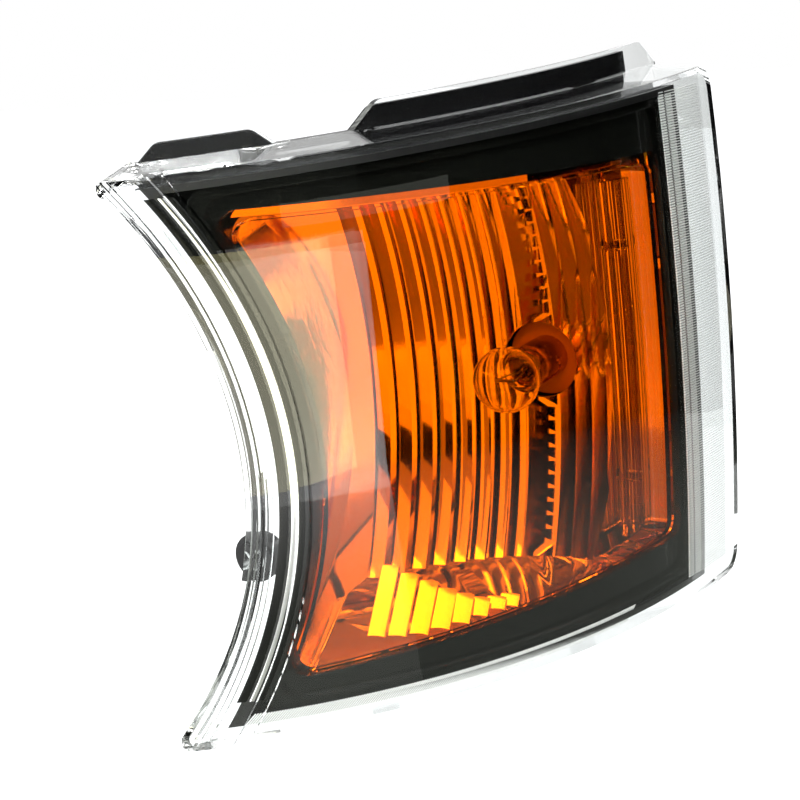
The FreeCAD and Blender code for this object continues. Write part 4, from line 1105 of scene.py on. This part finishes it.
@dataclass
class Bulb(Assembly):
    """The bayonet bulb."""

    body: Body = Body.BULB

    def build(self) -> None:
        """Finish the bulb's pieces."""
        self.polished("bulb_glass", Slot.GLASS, BULB_GLASS)
        self.polished("bulb_stem", Slot.GLASS, BULB_GLASS)
        self.polished("bulb_supports", Slot.TUNGSTEN, WIRE)
        self.polished("filament", Slot.TUNGSTEN, WIRE)
        self.polished("bulb_cap", Slot.BRASS, BRASS)
        self.polished("bulb_insulator", Slot.BLACK_GLASS, VITRITE)
        self.polished("solder_contact", Slot.SOLDER, SOLDER)


@dataclass
class Holder(Assembly):
    """The quarter-turn bulb holder and its plunger.

    Attributes:
        spring_end_y: where the contact spring rests in the holder.
        spring_length: its length at rest.
        travel: how far the plunger shortens it.
    """

    body: Body = Body.HOLDER
    spring_end_y: float = -9.4 * MM
    spring_length: float = 4.6 * MM
    travel: float = 1.6 * MM

    def build(self) -> None:
        """Finish the holder's pieces."""
        self.polished("bulb_holder", Slot.HOLDER, NYLON)
        self.polished("bulb_sleeve", Slot.BRASS, BRASS)
        self.polished("terminal_blades", Slot.BRASS, BRASS)
        self.polished("holder_gasket", Slot.RUBBER, EPDM)
        spring = self.polished("contact_spring", Slot.TUNGSTEN, WIRE)
        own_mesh(spring)
        Assembly(self.frame, Body.PLUNGER).polished("contact_plunger", Slot.BRASS, BRASS)


# ---------------------------------------------------------------- studio
@dataclass
class Studio:
    """Camera, lamps, pale floor and the cards that the gloss reflects.

    Attributes:
        azimuth_deg: where the camera stands, from -Y towards +X.
        elevation_deg: how far up it stands.
        roll_deg: how far it is tilted to the side.
        distance: its distance from the focus.
        sideways: how far it has moved to its left.
        downward: how far it has moved down.
        focus: the place that it looks at before it moves.
        lens_mm: focal length.
        sensor_mm: width of the sensor.
        nearest: what is closer to the camera than this isn't drawn.
        fill: strength of the world's plain light.
        floor_z: height of the floor.
        floor_half: half of its width.
        floor_glow: what is added where it is looked at.
        apron_lift: height of an apron above the floor.
        apron_fade: share of an apron's width at which its shading starts.
        split_deg: where the pale side of the cards ends and the dark side starts.
        bounces: how often light may pass or meet a surface.
        gloss_bounces: how often it may be mirrored.
    """

    azimuth_deg: float = 28.274
    elevation_deg: float = 13.194
    roll_deg: float = 5.555
    distance: float = 699.826 * MM
    sideways: float = 44.486 * MM
    downward: float = -2.36 * MM
    focus: Triple = (72 * MM, -97 * MM, 0.0)
    lens_mm: float = 89.75
    sensor_mm: float = 36.0
    nearest: float = 10 * MM
    fill: float = 0.8
    floor_z: float = -0.42
    floor_half: float = 6.0
    floor_glow: float = 0.7
    apron_lift: float = 5 * MM
    apron_fade: float = 0.6
    split_deg: float = 55.7
    bounces: int = 32
    gloss_bounces: int = 16

    def axes(self) -> tuple[Vector, Vector, Vector]:
        """Directions of a camera that isn't rolled.

        Returns:
            Its right, its up and its backward direction.
        """
        a = math.radians(self.azimuth_deg)
        e = math.radians(self.elevation_deg)
        back = Vector((math.sin(a) * math.cos(e), -math.cos(a) * math.cos(e), math.sin(e)))
        right = Vector((math.cos(a), math.sin(a), 0))
        return right, back.cross(right), back

    def camera(self) -> None:
        """Place the camera."""
        right, up, back = self.axes()
        place = Vector(self.focus) + back * self.distance - right * self.sideways - up * self.downward
        c = math.cos(math.radians(self.roll_deg))
        s = math.sin(math.radians(self.roll_deg))
        turned_right = c * right - s * up
        turned_up = s * right + c * up
        data = bpy.data.cameras.new("camera")
        data.lens = self.lens_mm
        data.sensor_width = self.sensor_mm
        data.clip_start = self.nearest
        camera = link("camera", data)
        turn = Matrix((turned_right, turned_up, back)).transposed().to_4x4()
        camera.matrix_world = Matrix.Translation(place) @ turn
        bpy.context.scene.camera = camera

    def lamp(self, name: str, place: Triple, size: tuple[float, float], power: float,
             aim: Triple = (0.03, -0.1, 0.0), tint: Triple = (1.0, 1.0, 1.0)) -> None:
        """Add a soft rectangular lamp.

        Args:
            name: its name.
            place: its middle.
            size: width and height.
            power: watts.
            aim: the place it faces.
            tint: its colour.
        """
        data = bpy.data.lights.new(name, "AREA")
        data.shape = "RECTANGLE"
        data.size, data.size_y = size
        data.energy = power
        data.color = tint
        lamp = link(name, data)
        lamp.location = place
        lamp.rotation_euler = (Vector(aim) - Vector(place)).to_track_quat("-Z", "Y").to_euler()

    def seen(self, tree: bpy.types.NodeTree) -> bpy.types.NodeSocket:
        """Tell whether a surface is looked at directly, by gloss or through glass.

        Args:
            tree: the material's or the world's node tree.

        Returns:
            A socket that gives 1 or 0.
        """
        path = add_node(tree, "ShaderNodeLightPath").outputs
        seen = add_node(tree, "ShaderNodeMath", {0: path["Is Camera Ray"], 1: path["Is Glossy Ray"]},
                        operation="MAXIMUM")
        return add_node(tree, "ShaderNodeMath", {0: seen.outputs[0], 1: path["Is Transmission Ray"]},
                        operation="MAXIMUM").outputs[0]

    def world(self) -> None:
        """White where it is looked at, plain fill otherwise."""
        world = bpy.data.worlds.new("studio")
        bpy.context.scene.world = world
        world.use_nodes = True
        tree = world.node_tree
        tree.nodes.clear()
        fill = add_node(tree, "ShaderNodeBackground", {"Color": linear("F4F6F8"), "Strength": self.fill})
        white = add_node(tree, "ShaderNodeBackground", {"Color": linear("FFFFFF"), "Strength": 1.0})
        mix = add_node(tree, "ShaderNodeMixShader", {
            0: self.seen(tree), 1: fill.outputs[0], 2: white.outputs[0]})
        add_node(tree, "ShaderNodeOutputWorld", {"Surface": mix.outputs[0]})

    def floor(self) -> None:
        """Lay a pale floor well below the lamp."""
        mesh = bpy.data.meshes.new("floor")
        half = self.floor_half
        corners = ((-half, -half), (half, -half), (half, half), (-half, half))
        mesh.from_pydata([(x, y, self.floor_z) for x, y in corners], [], [(0, 1, 2, 3)])
        floor = link("floor", mesh)
        material = blank("floor_paint")
        tree = material.node_tree
        matt = add_node(tree, "ShaderNodeBsdfDiffuse", {"Color": linear("E8E8E8")})
        glow = add_node(tree, "ShaderNodeEmission", {"Color": linear("FFFFFF"), "Strength": self.floor_glow})
        both = add_node(tree, "ShaderNodeAddShader", {0: matt.outputs[0], 1: glow.outputs[0]})
        mix = add_node(tree, "ShaderNodeMixShader", {
            0: self.seen(tree), 1: matt.outputs[0], 2: both.outputs[0]})
        add_node(tree, "ShaderNodeOutputMaterial", {"Surface": mix.outputs[0]})
        floor.data.materials.append(material)

    def sheet(self, name: str, corners: list[Vector], tones: tuple[str, str], flat: bool,
              span: tuple[float, float], sight: Sight) -> None:
        """Add a sheet that only gloss or glass sees, shaded from one tone to another.

        Args:
            name: its name.
            corners: its corners in order.
            tones: its colour where the shading starts and where it ends.
            flat: it lies level and is shaded outwards; otherwise it stands and is shaded upwards.
            span: distance from the lamp's axis, or height, where the shading starts and ends.
            sight: the light that it takes part in.
        """
        mesh = bpy.data.meshes.new(name)
        mesh.from_pydata(corners, [], [tuple(range(len(corners)))])
        card = link(name, mesh)
        material = blank(name)
        tree = material.node_tree
        place = add_node(tree, "ShaderNodeTexCoord").outputs["Object"]
        kept = (1, 1, 0) if flat else (0, 0, 1)
        part = add_node(tree, "ShaderNodeMapping", {"Vector": place, "Scale": kept}).outputs[0]
        away = add_node(tree, "ShaderNodeVectorMath", {0: part}, operation="LENGTH").outputs["Value"]
        height = add_node(tree, "ShaderNodeSeparateXYZ", {0: part}).outputs[2]
        shade = add_node(tree, "ShaderNodeMapRange", {
            "Value": away if flat else height, "From Min": span[0], "From Max": span[1]})
        colour = add_node(tree, "ShaderNodeMix", {
            0: shade.outputs[0], 6: linear(tones[0]), 7: linear(tones[1])}, data_type="RGBA")
        glow = add_node(tree, "ShaderNodeEmission", {"Color": colour.outputs[2], "Strength": 1.0})
        add_node(tree, "ShaderNodeOutputMaterial", {"Surface": glow.outputs[0]})
        card.data.materials.append(material)
        card.visible_camera = False
        card.visible_shadow = False
        card.visible_diffuse = False
        card.visible_glossy, card.visible_transmission = sight.value

    def turns(self, start_deg: float, end_deg: float, apart_deg: float) -> list[float]:
        """Give directions round the lamp about so far apart, in radians."""
        steps = max(1, round((end_deg - start_deg) / apart_deg))
        return [math.radians(turn) for turn in evenly(start_deg, end_deg, steps)]

    def screen(self, name: str, start_deg: float, end_deg: float, low: float, high: float,
               tones: tuple[str, str], sight: Sight = Sight.BOTH, reach: float = 1.5) -> None:
        """Stand a curved row of cards round the lamp.

        Args:
            name: its name.
            start_deg: where it starts, from -Y towards +X.
            end_deg: where it ends.
            low: height of its lower edge.
            high: height of its upper edge.
            tones: its colour at the lower edge and from half way up.
            sight: the light that it takes part in.
            reach: distance from the lamp.
        """
        turns = self.turns(start_deg, end_deg, 20)
        feet = [Vector((math.sin(a) * reach, -math.cos(a) * reach, low)) for a in turns]
        rise = Vector((0, 0, high - low))
        for step, (left, right) in enumerate(zip(feet, feet[1:])):
            self.sheet(f"{name}_{step}", [left, right, right + rise, left + rise], tones, False,
                       (low, (low + high) / 2), sight)

    def apron(self, name: str, start_deg: float, end_deg: float, far: float, tones: tuple[str, str],
              sight: Sight, near: float = 0.2) -> None:
        """Lay a ring sector just above the floor.

        Args:
            name: its name.
            start_deg: where it starts, from -Y towards +X.
            end_deg: where it ends.
            far: its outer radius.
            tones: its colour up to where its shading starts, and at its outer edge.
            sight: the light that it takes part in.
            near: its inner radius.
        """
        z = self.floor_z + self.apron_lift
        ring = [(math.sin(a), -math.cos(a)) for a in self.turns(start_deg, end_deg, 10)]
        outer = [Vector((x * far, y * far, z)) for x, y in ring]
        inner = [Vector((x * near, y * near, z)) for x, y in reversed(ring)]
        self.sheet(name, outer + inner, tones, True, (near + self.apron_fade * (far - near), far), sight)

    def build(self) -> None:
        """Set the whole studio up."""
        self.camera()
        self.world()
        self.floor()
        self.lamp("key", place=(0.32, -1.22, 1.0), size=(0.9, 0.5), power=16.0)
        self.lamp("top", place=(-0.2, -0.3, 1.8), size=(1.0, 0.6), power=14.0)
        self.lamp("wash", place=(0.7, -1.21, -0.2), size=(0.96, 0.4), power=1.85, tint=(1.0, 0.92, 0.45))
        self.lamp("front", place=(-0.41, -1.34, 0.4), size=(1.2, 1.6), power=12.0)
        self.screen("screen_outer", self.split_deg, 150.0, self.floor_z, 1.3, ("060606", "060606"))
        self.screen("screen_back", 150.0, 172.0, self.floor_z, 1.3, ("060606", "060606"), Sight.GLOSS)
        self.lamp("high", place=(0.65, -1.13, 0.75), size=(1.0, 0.9), power=5.4)
        self.screen("screen_low", 2.0, self.split_deg, -0.02, 0.37, ("20221E", "0D0F0C"), Sight.GLOSS)
        self.screen("screen_low_glass", 14.0, self.split_deg, 0.0, 0.2, ("3C3E3A", "3C3E3A"), Sight.GLASS)
        self.screen("screen_glint", 40.0, 74.0, 0.025, 0.065, ("C0C4B8", "C0C4B8"), Sight.GLOSS, reach=1.45)
        self.screen("screen_inner", -125.0, -44.0, self.floor_z, 1.2, ("141414", "141414"))
        self.apron("apron_gloss", -60.0, self.split_deg, 1.35, ("6C7068", "FFFFFF"), Sight.GLOSS)
        self.apron("apron_gloss_outer", self.split_deg, 172.0, 1.51, ("6C7068", "0C0C0C"), Sight.GLOSS)
        self.apron("apron_glass", 10.0, self.split_deg, 1.35, ("CACCC4", "FFFFFF"), Sight.GLASS)
        self.apron("apron_glass_outer", self.split_deg, 134.0, 1.51, ("8C8E88", "0C0C0C"), Sight.GLASS)
        scene = bpy.context.scene
        scene.view_settings.view_transform = "Standard"
        scene.cycles.max_bounces = self.bounces
        scene.cycles.transmission_bounces = self.bounces
        scene.cycles.transparent_max_bounces = self.bounces
        scene.cycles.glossy_bounces = self.gloss_bounces


def main() -> None:
    """Build the lamp's looks and the studio."""
    logging.basicConfig(level=logging.INFO, format="%(name)s: %(message)s")
    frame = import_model()
    for assembly in (Shell(frame), Optics(frame), Bulb(frame), Holder(frame)):
        assembly.build()
    Studio().build()


if __name__ == "__main__":
    main()
